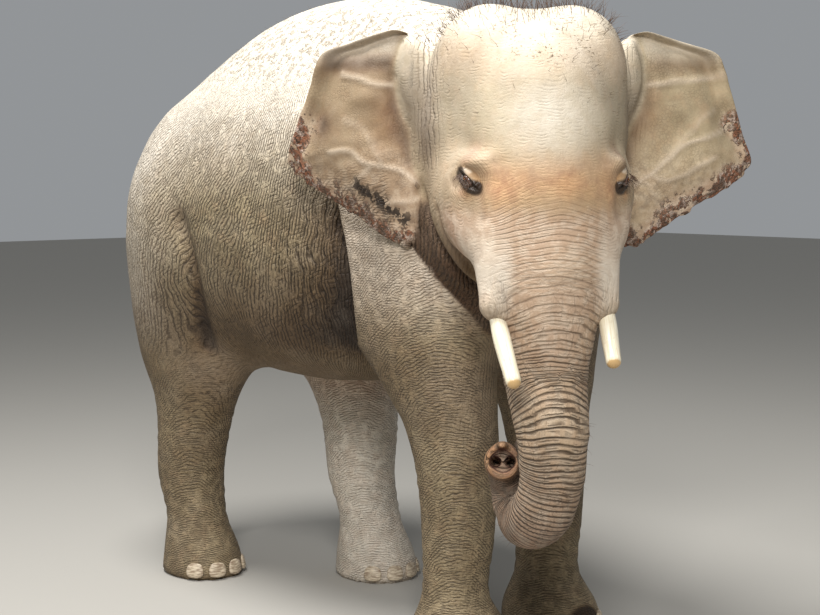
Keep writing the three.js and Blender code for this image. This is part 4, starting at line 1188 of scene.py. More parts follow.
        # Painted shade on the ears: in the hollow behind the flap at each root, and under the rolled upper
        # rim.
        hollow_shade = near_line(np.c_[self.place, 0 * out], [(*at, 0) for at in EAR_HOLLOW], 0.030)
        shadow_under_rim = hump(down, 0.085, 0.035) * ramp(out, 0.02, 0.08) * ramp(out, 0.40, 0.30)
        dark_and_shade = dark_and_shade + self.ear * (0.8 * smudge + 0.8 * hollow_shade + 0.7 * shadow_under_rim)
        dark_and_shade = dark_and_shade + self.ear * (1 - margin) * np.where(on_right, 0.60, 0.10)
        cup = self.ear * hump(out, 0.09, 0.06) * hump(down, 0.27, 0.11)
        warm = warm + 0.20 * cup
        dark_and_shade = dark_and_shade + 0.35 * cup

        tears = to_line(self.place, [(0.20, 0.500), (0.12, 0.548), (0.07, 0.580), (0.02, 0.618)])
        torn = self.ear * hump(tears, 0, 0.036) * on_right
        crown_band = hump(q[:, 0], 0, 0.26) * ramp(q[:, 2], 0.33, 0.40) * ramp(q[:, 2], 0.56, 0.50)
        crust = self.ear * margin + off_ear * self.on_head * crown_band
        tear = near_line(m, TEAR_WAY, 0.014)
        # Wet: tears and the torn ear, and round each eye the wet rim with painted shadow of the lids and
        # lashes.
        wet_and_eye_shadow = np.maximum(wet_rim_and_shadow, 0.62 * tear) * off_ear + torn
        from_tip = length(p - TIP)
        lips = ramp(from_tip, 0.100, 0.066) * ramp(from_tip, 0.030, 0.044)
        warm = warm + 0.8 * lips
        dark_and_shade = dark_and_shade + 0.8 * lips
        inside = ramp(from_tip, 0.052, 0.038) * ramp(n @ TIP_WAY, 0.85, 0.2)
        return dust_and_highlight, warm, pale_and_lit, dark_and_shade, crust, wet_and_eye_shadow, inside

    def ear_margin(self):
        """1 along the ears' outer and lower edge."""
        edge = ear_edge(np.linspace(7, 16, 40))
        on_ears = self.ear > 0.01
        gap = np.full(len(self.p), 1.0)
        gap[on_ears] = to_line(self.place[on_ears], edge)
        wide = 0.066 + 0.034 * noise(self.p, 0.09, 23)
        return ramp(gap, wide + 0.025, wide * 0.45)


def store(mesh, name, columns):
    """Up to three numbers to a corner, kept as the parts of one vector."""
    rows = np.zeros((len(mesh.vertices), 3), np.float32)
    for k, column in enumerate(columns):
        rows[:, k] = column
    mesh.attributes.new(name, "FLOAT_VECTOR", "POINT").data.foreach_set("vector", rows.ravel())


def corner_areas(mesh):
    """Each corner's share of the area of the faces round it."""
    area = numbers_of(mesh.polygons, "area", kind=np.float32)
    count = numbers_of(mesh.polygons, "loop_total")
    share = np.zeros(len(mesh.vertices))
    np.add.at(share, numbers_of(mesh.loops, "vertex_index"), np.repeat(area / count, count))
    return share


SOLE_FLAT = 0.007  # corners lower than this are set on the floor


def finish_skin(skin, extra):
    """Displaces the skin and gives it the attributes that its material reads."""
    mesh = skin.data
    mesh.shade_smooth()
    p = get_points(mesh)
    p = p + get_normals(mesh) * Marks(p, get_normals(mesh), extra).displacement()[:, None]
    set_points(mesh, p)
    marks = Marks(p, get_normals(mesh), extra)
    marks.area = corner_areas(mesh)
    dust_and_highlight, warm, pale_and_lit, dark_and_shade, crust, wet_and_eye_shadow, inside = (np.clip(tone, 0, 2) for tone in marks.tones())
    phases, depths = zip(marks.rings(), marks.folds(), marks.wraps())
    store(mesh, "lie", marks.lie().T)
    store(mesh, "phases", phases)
    store(mesh, "depths", depths)
    store(mesh, "tone_a", (dust_and_highlight, warm, pale_and_lit))
    store(mesh, "tone_b", (dark_and_shade, crust, wet_and_eye_shadow))
    store(mesh, "tone_c", (inside, marks.vein, marks.ear))
    face = marks.on_head * (1 - marks.on_trunk) * (1 - marks.ear)
    store(mesh, "parts", (face, marks.on_trunk, marks.hatched))
    set_points(mesh, np.where(p[:, 2:] < SOLE_FLAT, p * (1, 1, 0), p) + MOVE)
    return marks


# ---------------------------------------------------------------- materials


class Net:
    """Adds nodes to a node tree. A value that is a socket is linked, and any other is set."""

    def __init__(self, tree):
        self.tree = tree

    def fill(self, made, values):
        """Gives a node's inputs their values."""
        for key, value in values.items():
            if isinstance(value, bpy.types.NodeSocket):
                self.tree.links.new(value, made.inputs[key])
            else:
                made.inputs[key].default_value = value

    def node(self, kind, values, **settings):
        """A node of a kind with its settings and the values of its inputs."""
        made = self.tree.nodes.new("ShaderNode" + kind)
        for name, setting in settings.items():
            setattr(made, name, setting)
        self.fill(made, values)
        return made

    def math(self, operation, *values):
        return self.node("Math", dict(enumerate(values)), operation=operation).outputs[0]

    def times(self, a, b):
        return self.math("MULTIPLY", a, b)

    def span(self, value, low, high, start=0.0, end=1.0, kind="SMOOTHSTEP"):
        """value carried from low..high to start..end."""
        values = {0: value, 1: low, 2: high, 3: start, 4: end}
        return self.node("MapRange", values, interpolation_type=kind).outputs[0]

    def mix(self, factor, a, b):
        """A colour on the way from a to b."""
        return self.node("Mix", {0: factor, 6: a, 7: b}, data_type="RGBA").outputs[2]

    def attribute(self, name):
        return self.node("Attribute", {}, attribute_name=name).outputs["Vector"]

    def parts(self, vector):
        return self.node("SeparateXYZ", {0: vector}).outputs[:]

    def stretched(self, vector, scale):
        return self.node("VectorMath", {0: vector, 1: scale}, operation="MULTIPLY").outputs[0]

    def noise(self, vector, size, detail=3.0, rough=0.55):
        """Noise from 0 to 1 whose lumps are about a size across."""
        values = {"Vector": vector, "Scale": 1 / size, "Detail": detail, "Roughness": rough}
        return self.node("TexNoise", values).outputs["Fac"]

    def group(self, tree, values):
        return self.node("Group", values, node_tree=tree).outputs[0]

    def bump(self, height):
        """The normal that a height in metres gives."""
        return self.node("Bump", {"Strength": 1.0, "Distance": 1.0, "Height": height}).outputs[0]


def new_group(name, inputs, output):
    """An empty node group that gives one number: its tree, its net, its inputs by name and a function that
    links its output."""
    tree = bpy.data.node_groups.new(name, "ShaderNodeTree")
    for label, kind in inputs.items():
        tree.interface.new_socket(label, in_out="INPUT", socket_type="NodeSocket" + kind)
    tree.interface.new_socket(output, in_out="OUTPUT", socket_type="NodeSocketFloat")
    entry = tree.nodes.new("NodeGroupInput")
    leave = tree.nodes.new("NodeGroupOutput")

    def give(socket):
        tree.links.new(socket, leave.inputs[output])

    return tree, Net(tree), entry.outputs, give


def cracks_group():
    """A net of cracks: the borders of Voronoi cells of a size, the place first shifted by noise. It gives 1
    in a crack."""
    inputs = {"Vector": "Vector", "Size": "Float", "Width": "Float", "Warp": "Float"}
    tree, net, take, give = new_group("cracks", inputs, "Gap")
    often = net.math("DIVIDE", 1.0, take["Size"])
    values = {"Vector": take["Vector"], "Scale": net.times(often, 0.6), "Detail": 2.0}
    shift = net.node("TexNoise", values).outputs["Color"]
    shift = net.node("VectorMath", {0: shift, 1: (0.5, 0.5, 0.5)}, operation="SUBTRACT").outputs[0]
    by = net.times(take["Warp"], take["Size"])
    shift = net.node("VectorMath", {0: shift, "Scale": by}, operation="SCALE").outputs[0]
    place = net.node("VectorMath", {0: take["Vector"], 1: shift}, operation="ADD").outputs[0]
    values = {"Vector": place, "Scale": often}
    border = net.node("TexVoronoi", values, feature="DISTANCE_TO_EDGE").outputs["Distance"]
    give(net.span(border, 0.0, take["Width"], 1.0, 0.0))
    return tree


def grooves_group():
    """Grooves along whole numbers of a phase: (0.5 + 0.5 cos(2 pi phase)) to a power, the phase first
    shifted by noise."""
    inputs = {"Phase": "Float", "Vector": "Vector", "Power": "Float", "Wander": "Float", "Size": "Float"}
    tree, net, take, give = new_group("grooves", inputs, "Groove")
    values = {"Vector": take["Vector"], "Scale": net.math("DIVIDE", 1.0, take["Size"]), "Detail": 3.0}
    stir = net.math("SUBTRACT", net.node("TexNoise", values).outputs["Fac"], 0.5)
    phase = net.math("ADD", take["Phase"], net.times(stir, take["Wander"]))
    wave = net.math("COSINE", net.times(phase, 2 * math.pi))
    wave = net.math("MULTIPLY_ADD", wave, 0.5, 0.5)
    give(net.math("POWER", wave, take["Power"]))
    return tree


def color(red, green, blue):
    """A colour from 0..255 display values."""
    linear = [(c / 255 / 12.92) if c < 10 else ((c / 255 + 0.055) / 1.055) ** 2.4 for c in (red, green, blue)]
    return (*linear, 1.0)


def new_material(name):
    """A material, a net for its nodes and its shader."""
    material = bpy.data.materials.new(name)
    material.use_nodes = True
    net = Net(material.node_tree)
    shader = material.node_tree.nodes["Principled BSDF"]
    return material, net, shader


def hide_material(cracks, grooves):
    """The hide: mottled warm grey brown with dust on top and painted light on the upper sides, the rump and
    the forehead, the far hind leg painted pale as if sunlit, painted shade below the body, behind the
    forelegs, on the neck, round the eyes and in the creases, an orange stain about the eyes, pale and
    crusted ear margins with a painted highlight on the veins, and folds, rings, wrinkles and cracks,
    darker in their depths."""
    material, net, shader = new_material("hide")
    lie = net.attribute("lie")
    ring_phase, fold_phase, wrap_phase = net.parts(net.attribute("phases"))
    ring_depth, fold_depth, wrap_depth = net.parts(net.attribute("depths"))
    dust_and_highlight, warm, pale_and_lit = net.parts(net.attribute("tone_a"))
    dark_and_shade, crust, wet_and_eye_shadow = net.parts(net.attribute("tone_b"))
    inside, vein, ear = net.parts(net.attribute("tone_c"))
    face, trunk, legs = net.parts(net.attribute("parts"))
    off_ear = net.math("SUBTRACT", 1.0, ear)
    up = net.parts(lie)[2]

    def groove(phase, depth, power, wander, size):
        values = {"Phase": phase, "Vector": lie, "Power": power, "Wander": wander, "Size": size}
        return net.times(net.group(grooves, values), depth)

    def crack(vector, size, width, warp):
        return net.group(cracks, {"Vector": vector, "Size": size, "Width": width, "Warp": warp})

    def patchy(size, detail, *ends):
        """Noise over the hide carried between the ends that Net.span takes."""
        return net.span(net.noise(lie, size, detail), *ends)

    def broken(depth, size, low=0.38, high=0.60):
        """A depth that dies out in places, so that lines stop and start."""
        return net.times(depth, patchy(size, 3.0, low, high))

    def along(vector):
        """A phase that rises evenly along a vector, by its length for each metre."""
        return net.node("VectorMath", {0: lie, 1: vector}, operation="DOT_PRODUCT").outputs["Value"]

    # Relief
    long_way = net.noise(net.stretched(lie, (0.5, 0.5, 2.6)), 0.09, 2.0)
    uneven = net.times(ring_depth, net.span(long_way, 0.3, 0.6, 0.60, 1.0))
    ring = groove(ring_phase, uneven, 6.5, 0.75, 0.15)
    low_trunk = net.times(trunk, net.span(up, 1.30, 0.95))
    wide_ring = groove(ring_phase, net.times(uneven, low_trunk), 2.6, 0.75, 0.15)
    half_phase = net.math("ADD", ring_phase, 0.45)
    half_ring = groove(half_phase, broken(ring_depth, 0.07, 0.44, 0.58), 6.0, 1.1, 0.10)
    fine_ring = groove(net.times(ring_phase, 3.6), broken(ring_depth, 0.035), 2.5, 2.6, 0.05)
    fold = groove(fold_phase, broken(fold_depth, 0.055, 0.30, 0.52), 5.0, 2.6, 0.10)
    wrap = groove(wrap_phase, broken(wrap_depth, 0.040, 0.31, 0.50), 2.8, 3.0, 0.10)
    half_wrap = net.math("MULTIPLY_ADD", wrap_phase, 1.7, 0.3)
    half_wrap = groove(half_wrap, broken(wrap_depth, 0.030, 0.48, 0.62), 3.0, 3.0, 0.10)
    skew = groove(along((0.0, 28.0, 62.0)), broken(wrap_depth, 0.035, 0.43, 0.60), 3.0, 3.0, 0.10)
    level_lines = groove(net.times(up, 112.0), broken(legs, 0.040, 0.40, 0.58), 3.2, 2.8, 0.07)
    brow_lines = groove(net.times(up, 88.0), broken(face, 0.040, 0.45, 0.66), 2.0, 4.5, 0.08)
    leg_skew = groove(along((56.0, 56.0, 78.0)), broken(legs, 0.036, 0.36, 0.54), 3.2, 2.8, 0.07)
    tall = net.stretched(lie, (1.0, 1.0, 0.30))
    broad = net.stretched(lie, (0.42, 0.42, 1.30))
    crinkle = net.times(crack(tall, 0.0150, 0.24, 1.5), wrap_depth)
    creased = net.times(crack(broad, 0.0150, 0.22, 1.3), net.math("MAXIMUM", legs, net.times(face, 0.12)))
    net_depth = net.times(off_ear, patchy(0.20, 2.0, 0.32, 0.60, 0.30, 1.0))
    big = crack(net.stretched(lie, (1.0, 1.0, 0.5)), 0.038, 0.08, 2.0)
    big = net.times(big, net.times(net_depth, net.span(face, 0.0, 1.0, 0.75, 0.10)))
    small = crack(lie, 0.0115, 0.18, 1.2)
    small = net.times(small, patchy(0.10, 2.0, 0.35, 0.65, 0.20, 0.75))
    small = net.times(small, net.span(face, 0.0, 1.0, 1.0, 0.35))
    grain = net.noise(lie, 0.006, 3.0, 0.65)
    pits = net.noise(lie, 0.022, 4.0, 0.6)
    # How deep each kind of line is, in metres, and how dark it shows, where a trunk ring is 1.
    lines = {
        wide_ring: (0.0040, 1.00),
        half_ring: (0.0036, 0.80),
        fine_ring: (0.0014, 0.45),
        fold: (0.0070, 0.85),
        wrap: (0.0050, 0.90),
        half_wrap: (0.0024, 0.70),
        skew: (0.0026, 0.75),
        level_lines: (0.0024, 0.76),
        leg_skew: (0.0030, 0.80),
        brow_lines: (0.0007, 0.22),
        crinkle: (0.0014, 0.40),
        creased: (0.0012, 0.36),
        big: (0.0016, 0.45),
        small: (0.0007, 0.26),
    }
    height, gap = net.times(ring, -0.0060), ring
    for line, (depth, shade) in lines.items():
        height = net.math("MULTIPLY_ADD", line, -depth, height)
        gap = net.math("MAXIMUM", gap, net.times(line, shade))
    height = net.math("MULTIPLY_ADD", grain, 0.0007, height)
    height = net.math("MULTIPLY_ADD", pits, 0.0014, height)
    ragged = net.math("ADD", net.noise(lie, 0.030, 4.0, 0.6), net.times(crust, 0.26))
    ragged = net.math("MULTIPLY_ADD", net.noise(lie, 0.11, 1.0), 0.55, ragged)
    crusted = net.times(net.span(ragged, 0.92, 1.02), net.times(crust, ear))
    lumps = net.times(crusted, net.noise(lie, 0.014, 3.0, 0.7))
    height = net.math("MULTIPLY_ADD", lumps, 0.0260, height)
    torn_edge = net.math("ADD", net.noise(lie, 0.024, 4.0, 0.6), net.times(wet_and_eye_shadow, 0.34))
    torn = net.times(net.times(ear, net.span(torn_edge, 0.76, 0.80)), wet_and_eye_shadow)
    height = net.math("MULTIPLY_ADD", torn, -0.0040, height)
    clods = net.span(net.noise(lie, 0.024, 4.0, 0.65), 0.53, 0.60)
    off_head = net.math("SUBTRACT", off_ear, face)
    clods = net.times(clods, net.times(off_head, net.span(up, 1.96, 2.16)))
    height = net.math("MULTIPLY_ADD", clods, 0.0050, height)

    # Colour
    blotch = patchy(0.17, 4.0, 0.36, 0.66)
    tint = net.mix(blotch, color(151, 135, 105), color(177, 160, 127))
    tint = net.mix(patchy(0.045, 4.0, 0.45, 0.72, 0.0, 0.35), tint, color(184, 153, 118))
    # The hide's darker brown, and painted shade, take the colour to brown and then to near black. The painted
    # shade lies below the body, behind the forelegs, on the neck, under the jaw, at the ears' roots and in
    # the creases.
    brown = net.mix(net.noise(lie, 0.03, 3.0), color(90, 71, 49), color(124, 101, 73))
    tint = net.mix(net.times(dark_and_shade, 0.9), tint, brown)
    tint = net.mix(net.times(net.span(dark_and_shade, 0.9, 1.6), 0.92), tint, color(40, 28, 17))
    # Pale pink: the pale hide, and the far hind leg painted pale as if sunlit.
    pink = net.mix(patchy(0.035, 3.0, 0.4, 0.65), color(190, 158, 134), color(224, 199, 176))
    tint = net.mix(net.times(pale_and_lit, 0.80), tint, pink)
    orange = net.mix(patchy(0.04, 4.0, 0.35, 0.65), color(156, 101, 57), color(191, 141, 92))
    tint = net.mix(net.times(warm, 0.80), tint, orange)
    # The powder colour is the dust on top, and painted light on the upper sides, the rump and the forehead.
    powder_and_highlight = net.mix(net.noise(lie, 0.02, 3.0), color(204, 192, 172), color(229, 221, 207))
    patches = net.times(dust_and_highlight, patchy(0.055, 4.0, 0.30, 0.60, 0.75, 1.0))
    tint = net.mix(patches, tint, powder_and_highlight)
    tint = net.mix(net.times(clods, net.span(dust_and_highlight, 0.3, 0.7, 0.0, 0.50)), tint, color(148, 134, 110))
    specks = net.noise(net.stretched(lie, (1.0, 1.0, 2.0)), 0.013, 3.0, 0.6)
    specks = net.math("MULTIPLY_ADD", patchy(0.10, 1.0, 0.40, 0.62), 0.08, specks)
    specks = net.times(net.span(specks, 0.64, 0.68), net.times(crust, off_ear))
    tint = net.mix(net.times(specks, 0.85), tint, color(92, 74, 50))
    scab = net.mix(patchy(0.012, 3.0, 0.42, 0.50), color(74, 48, 34), color(158, 100, 70))
    scab = net.mix(patchy(0.020, 3.0, 0.50, 0.60), scab, color(206, 182, 166))
    tint = net.mix(net.times(crusted, 0.95), tint, scab)
    mottled = net.times(net.times(ear, pale_and_lit), patchy(0.030, 4.0, 0.50, 0.62))
    tint = net.mix(net.times(mottled, 0.85), tint, color(98, 80, 66))
    # A painted highlight along the veins' ridges.
    tint = net.mix(net.times(vein, 0.50), tint, color(206, 188, 166))
    shallow = net.math("MAXIMUM", dust_and_highlight, net.times(pale_and_lit, 0.5))
    depth_tint = net.mix(shallow, color(36, 25, 17), color(122, 98, 74))
    clear = net.times(gap, net.span(dust_and_highlight, 0.3, 1.0, 0.95, 0.60, "LINEAR"))
    tint = net.mix(clear, tint, depth_tint)
    # Near black and glossier: wet tears and torn ear, and round each eye painted shadow of the lids and
    # lashes.
    soaked_and_shadowed = net.math("MAXIMUM", net.times(wet_and_eye_shadow, off_ear), torn)
    tint = net.mix(net.times(soaked_and_shadowed, 0.94), tint, color(36, 26, 20))
    tint = net.mix(inside, tint, color(74, 32, 22))
    rough = net.span(soaked_and_shadowed, 0.0, 1.0, 0.70, 0.35)
    look = {"Base Color": tint, "Roughness": rough, "Normal": net.bump(height), "Specular IOR Level": 0.35}
    net.fill(shader, look)
    return material


def ivory_material():
    """Ivory, yellower and stained towards the tip, with faint lines along it."""
    material, net, shader = new_material("ivory")
    place = net.attribute("along")
    along = net.parts(place)[0]
    here = net.node("TexCoord", {}).outputs["Object"]
    streak = net.noise(net.stretched(place, (1.0, 9.0, 1.0)), 0.25, 3.0)
    tint = net.mix(net.span(streak, 0.35, 0.7), color(232, 224, 202), color(214, 199, 166))
    tint = net.mix(net.span(along, 0.60, 0.95, 0.0, 0.45), tint, color(220, 196, 140))
    tint = net.mix(net.span(along, 0.74, 0.82, 0.0, 0.85), tint, color(190, 150, 92))
    spots = net.span(net.noise(here, 0.02, 4.0), 0.55, 0.75, 0.0, 0.35)
    tint = net.mix(spots, tint, color(176, 146, 100))
    root = net.span(along, 0.14, 0.02, 0.0, 0.7)
    tint = net.mix(root, tint, color(150, 118, 84))
    bump = net.bump(net.times(streak, 0.0006))
    net.fill(shader, {"Base Color": tint, "Roughness": 0.32, "Normal": bump, "Coat Weight": 0.25})
    return material


def eye_material():
    """The eye: a black pupil, an amber brown iris with lines out from the pupil, a dark ring, and a dark
    brown white, all under a wet coat. The place is (angle from the pupil's middle, angle round it)."""
    material, net, shader = new_material("eye")
    place = net.attribute("along")
    angle = net.parts(place)[0]
    rays = net.noise(net.stretched(place, (1.5, 9.0, 1.0)), 0.35, 3.0)
    iris = net.mix(rays, color(88, 50, 22), color(150, 94, 44))
    tint = net.mix(net.span(angle, 0.42, 0.50), iris, color(26, 18, 14))
    tint = net.mix(net.span(angle, 0.52, 0.70), tint, color(92, 66, 54))
    tint = net.mix(net.span(angle, 0.20, 0.16), tint, color(6, 5, 5))
    net.fill(shader, {"Base Color": tint, "Roughness": 0.12, "Coat Weight": 1.0, "Coat Roughness": 0.03})
    return material


def horn_material():
    """Toenails: pale, with ridges across and dirt in them."""
    material, net, shader = new_material("horn")
    here = net.node("TexCoord", {}).outputs["Object"]
    ridge = net.noise(net.stretched(here, (1.0, 1.0, 5.0)), 0.03, 3.0)
    tint = net.mix(net.span(ridge, 0.35, 0.65), color(142, 122, 100), color(206, 190, 164))
    net.fill(shader, {"Base Color": tint, "Roughness": 0.5, "Normal": net.bump(net.times(ridge, 0.002))})
    return material


# ---------------------------------------------------------------- eyes, tusks and nails


def tube(centres, side, up, across, tall, around):
    """Rings of points about a line of centres, their ends closed to a point. side and up are unit vectors
    for each ring, and across and tall its half sizes. Gives the corners, faces, and each corner's share
    of the way along and round."""
    rings = len(centres)
    angle = np.arange(around) * 2 * math.pi / around
    c, s = np.cos(angle), np.sin(angle)
    grid = centres[:, None] + across[:, None, None] * c[None, :, None] * side[:, None]
    grid = grid + tall[:, None, None] * s[None, :, None] * up[:, None]
    points = np.concatenate([grid.reshape(-1, 3), centres[:1], centres[-1:]])
    index = np.arange(rings * around).reshape(rings, around)
    turned = np.roll(index, -1, axis=1)
    quads = np.stack([index[:-1], index[1:], turned[1:], turned[:-1]], -1).reshape(-1, 4)
    first, last = rings * around, rings * around + 1
    start = np.stack([np.full(around, first), index[0], turned[0]], -1)
    end = np.stack([np.full(around, last), turned[-1], index[-1]], -1)
    along = np.concatenate([np.repeat(np.linspace(0, 1, rings), around), [0, 1]])
    turn = np.concatenate([np.tile(angle / (2 * math.pi), rings), [0, 0]])
    return points, [*quads.tolist(), *start.tolist(), *end.tolist()], along, turn


def tube_object(name, points, faces, along, turn):
    """A tube as a smooth object that faces outward and keeps the way along and round it."""
    mesh = bpy.data.meshes.new(name)
    mesh.from_pydata((points + MOVE).tolist(), [], faces)
    bm = bmesh.new()
    bm.from_mesh(mesh)
    bmesh.ops.recalc_face_normals(bm, faces=bm.faces)
    bm.to_mesh(mesh)
    bm.free()
    mesh.shade_smooth()
    store(mesh, "along", (along, turn))
    return new_object(name, mesh)


def make_eye(side):
    """A ball with a slightly bulging cornea, about the axis that looks out of the socket."""
    out, inner, up = EYE_AXES[side]
    angle = np.linspace(0.02, math.pi - 0.02, 34)
    radius = EYE["radius"] + 0.0014 * hump(angle, 0, 0.5)
    centres = EYE_SPOTS[side] + (radius * np.cos(angle))[:, None] * out
    ones = np.ones((len(angle), 1))
    across = radius * np.sin(angle)
    points, faces, along, turn = tube(centres, ones * inner, ones * up, across, across, 40)
    return tube_object("eyeball_" + side, points, faces, along * math.pi, turn)


def make_tusk(side):
    """A slightly hanging line from the sheath to the tip, its radius falling from thick to thin and then
    along a quarter of a superellipse to a blunt end."""
    a, b = (np.array(at) for at in TUSK[side])
    t = np.concatenate([np.linspace(0, 0.9, 18), 0.9 + 0.1 * np.sin(np.linspace(0.12, 1, 10) * math.pi / 2)])
    t = t * 1.03
    line = a + t[:, None] * (b - a) - TUSK["bow"] * np.sin(math.pi * t)[:, None] * np.array([0, 0, 1])
    radius = TUSK["thick"] + (TUSK["thin"] - TUSK["thick"]) * t
    radius = radius * (0.82 + 0.30 * ramp(t, 0.10, 0.50))
    blunt = np.clip((t - 0.93) / 0.10, 0, 1)
    radius = radius * np.maximum(1 - blunt**3.0, 0) ** (1 / 2.4)
    radius = np.maximum(radius, 0.001)
    way = np.gradient(line, axis=0)
    way /= length(way)[:, None]
    side_way = np.cross(way, (0, 0, 1))
    side_way /= length(side_way)[:, None]
    up = np.cross(side_way, way)
    made = tube(from_head(line), side_way @ HEAD_AXES, up @ HEAD_AXES, radius, radius, 28)
    return tube_object("ivory_" + side, *made)


NAIL = {"wide": 0.037, "high": 0.031, "thick": 0.012, "middle": 0.044, "lean": -0.12}
NAILS = {"fore": 5, "hind": 4}
NAIL_SPREAD = math.radians(33)


def make_nail(leg_name, number, count):
    """A flattened superellipsoid let half into the foot, wider below than above, its lower edge flat."""
    turn = (number - (count - 1) / 2) * NAIL_SPREAD
    x, y, across, along = leg_section(LEGS[leg_name], NAIL["middle"])
    s, c = math.sin(turn), math.cos(turn)
    power = LEG_POWER
    reach = (abs(s) ** power + abs(c) ** power) ** (-1 / power)
    middle = np.array([x + across * reach * s, y - along * reach * c, NAIL["middle"]])
    facing = np.array([abs(s) ** (power - 1) / across * np.sign(s), -abs(c) ** (power - 1) / along, 0])
    facing /= length(facing)
    beside = np.cross((0, 0, 1), facing)
    up = np.array([0, 0, 1]) + NAIL["lean"] * facing
    rise = np.linspace(-0.985, 0.985, 17)
    half = (1 - np.abs(rise) ** 3.0) ** (1 / 3.0)
    wide = NAIL["wide"] * half * (1 - 0.10 * rise)
    thick = NAIL["thick"] * half * (1 - 0.25 * rise)
    centres = middle + NAIL["high"] * rise[:, None] * up
    ones = np.ones((len(rise), 1))
    return tube(centres, ones * beside, ones * facing, wide, thick, 20)


# ---------------------------------------------------------------- hair


def strands(roots, ways, lengths, width, droop, seed, steps=4, sway=0.16):
    """Thin three-sided hairs, each along a line that starts at its root in its own direction and bends
    down by droop, tapering to the tip. Gives corners, faces and how many corners a hair has."""
    rng = np.random.default_rng(seed)
    count = len(roots)
    t = np.linspace(0, 1, steps + 1)
    side = np.cross(ways, rng.normal(size=(count, 3)))
    side /= length(side)[:, None]
    aside = side * (rng.normal(0, sway, count) * lengths)[:, None]
    line = roots[:, None] + (lengths[:, None] * t)[..., None] * ways[:, None]
    line = line + (t**2)[None, :, None] * aside[:, None]
    line = line - (droop * lengths[:, None] * t**2)[..., None] * np.array([0, 0, 1.0])
    other = np.cross(ways, side)
    taper = (1 - 0.85 * t)[None, :, None, None]
    angle = np.arange(3) * 2 * math.pi / 3
    ring = side[:, None] * np.cos(angle)[:, None] + other[:, None] * np.sin(angle)[:, None]
    radius = np.broadcast_to(width, (count,))[:, None, None, None] * taper
    grid = line[:, :, None] + radius * ring[:, None]
    per = (steps + 1) * 3
    index = np.arange(per).reshape(steps + 1, 3)
    turned = np.roll(index, -1, axis=1)
    quads = np.stack([index[:-1], turned[:-1], turned[1:], index[1:]], -1).reshape(-1, 4)
    base = (np.arange(count) * per)[:, None, None]
    quads = (base + quads).reshape(-1, 4)
    caps = np.array([[2, 1, 0], [per - 3, per - 2, per - 1]])
    caps = (base + caps).reshape(-1, 3)
    return grid.reshape(-1, 3), [*quads.tolist(), *caps.tolist()], per


HAIR_SUNK = 0.002  # how far roots lie under the hide
PATCH = 0.003  # a strand's size on the OFBake map


def hair_object(name, points, faces, per, unwrap_at):
    """Strands as one piece whose OFBake map holds each strand as a patch at its root's place on the
    unwrap."""
    mesh = bpy.data.meshes.new(name)
    mesh.from_pydata((points + MOVE).tolist(), [], faces)
    mesh.shade_smooth()
    thing = new_object(name, mesh)
    local = np.tile(np.arange(per), len(points) // per)
    u = (local % 3) / 2
    v = (local // 3) / (per // 3 - 1)
    place = np.repeat(unwrap_at, per, axis=0) + PATCH * (np.stack([u, v], -1) - 0.5)
    corner = numbers_of(mesh.loops, "vertex_index")
    layer = mesh.uv_layers.new(name="OFBake")
    layer.data.foreach_set("uv", np.ascontiguousarray(place[corner], np.float32).ravel())
    shade = np.random.default_rng(len(points)).random(len(points) // per)
    store(mesh, "along", (v, np.repeat(shade, per)))
    return thing


def unwrap(roots):
    """A cylinder about the body's long axis laid flat: the angle round it, and the place along it."""
    turn = np.arctan2(roots[:, 0], roots[:, 2] - 1.45) / (2 * math.pi) + 0.5
    along = (roots[:, 1] + 1.7) / 3.2
    return 0.02 + 0.96 * np.stack([turn, along], -1)


def scatter(marks, density, seed):
    """Random roots over the skin, on average as many to a square metre as the density there says."""
    rng = np.random.default_rng(seed)
    often = rng.poisson(np.clip(density, 0, None) * marks.area)
    roots = np.repeat(marks.p, often, axis=0)
    normals = np.repeat(marks.n, often, axis=0)
    spread = np.repeat(np.sqrt(marks.area), often)[:, None] * rng.uniform(-0.5, 0.5, roots.shape)
    spread = spread - (spread * normals).sum(1)[:, None] * normals
    return roots + spread, normals, rng


def hair_material():
    """Dark brown hair, greyer towards the tips, each a little different."""
    material, net, shader = new_material("hair")
    along, shade = net.parts(net.attribute("along"))[:2]
    tint = net.mix(shade, color(44, 30, 22), color(86, 60, 42))
    tint = net.mix(net.times(along, 0.5), tint, color(128, 98, 72))
    net.fill(shader, {"Base Color": tint, "Roughness": 0.5})
    return material


def floor_material():
    """Matt warm grey."""
    material, net, shader = new_material("floor")
    net.fill(shader, {"Base Color": color(170, 166, 158), "Roughness": 0.85})
    return material


def head_hair(marks):
    """Sparse short hair that stands on the crown, thinner down the brow and along the back of the neck."""
    q, p = marks.q, marks.p
    crown = marks.on_head * ramp(q[:, 2], 0.38, 0.52) * ramp(np.abs(q[:, 0]), 0.35, 0.30)
    crown = crown * ramp(q[:, 1], -0.05, 0.20)
    nape = hump(p[:, 1], -0.70, 0.30) * ramp(p[:, 2], 2.1, 2.25) * ramp(marks.ear, 0.05, 0.0)
    face = marks.on_head * ramp(marks.ear, 0.05, 0.0) * ramp(marks.mirrored[:, 0], 0.33, 0.28)
    density = 2200 * crown + 300 * nape + 80 * face
    roots, ways, rng = scatter(marks, density, 31)
    ways = ways + rng.normal(0, 0.35, ways.shape) + (0, 0.15, 0.25)
    ways /= length(ways)[:, None]
    level = to_head(roots)[:, 2]
    tall = ramp(level, 0.0, 0.5)
    lengths = 0.010 + 0.030 * tall + 0.030 * ramp(level, 0.49, 0.55)
    lengths = lengths * rng.uniform(0.5, 1.5, len(roots))
    width = 0.0005 + 0.0004 * tall
    return strands(roots - HAIR_SUNK * ways, ways, lengths, width, 0.10, 32, steps=3), unwrap(roots)


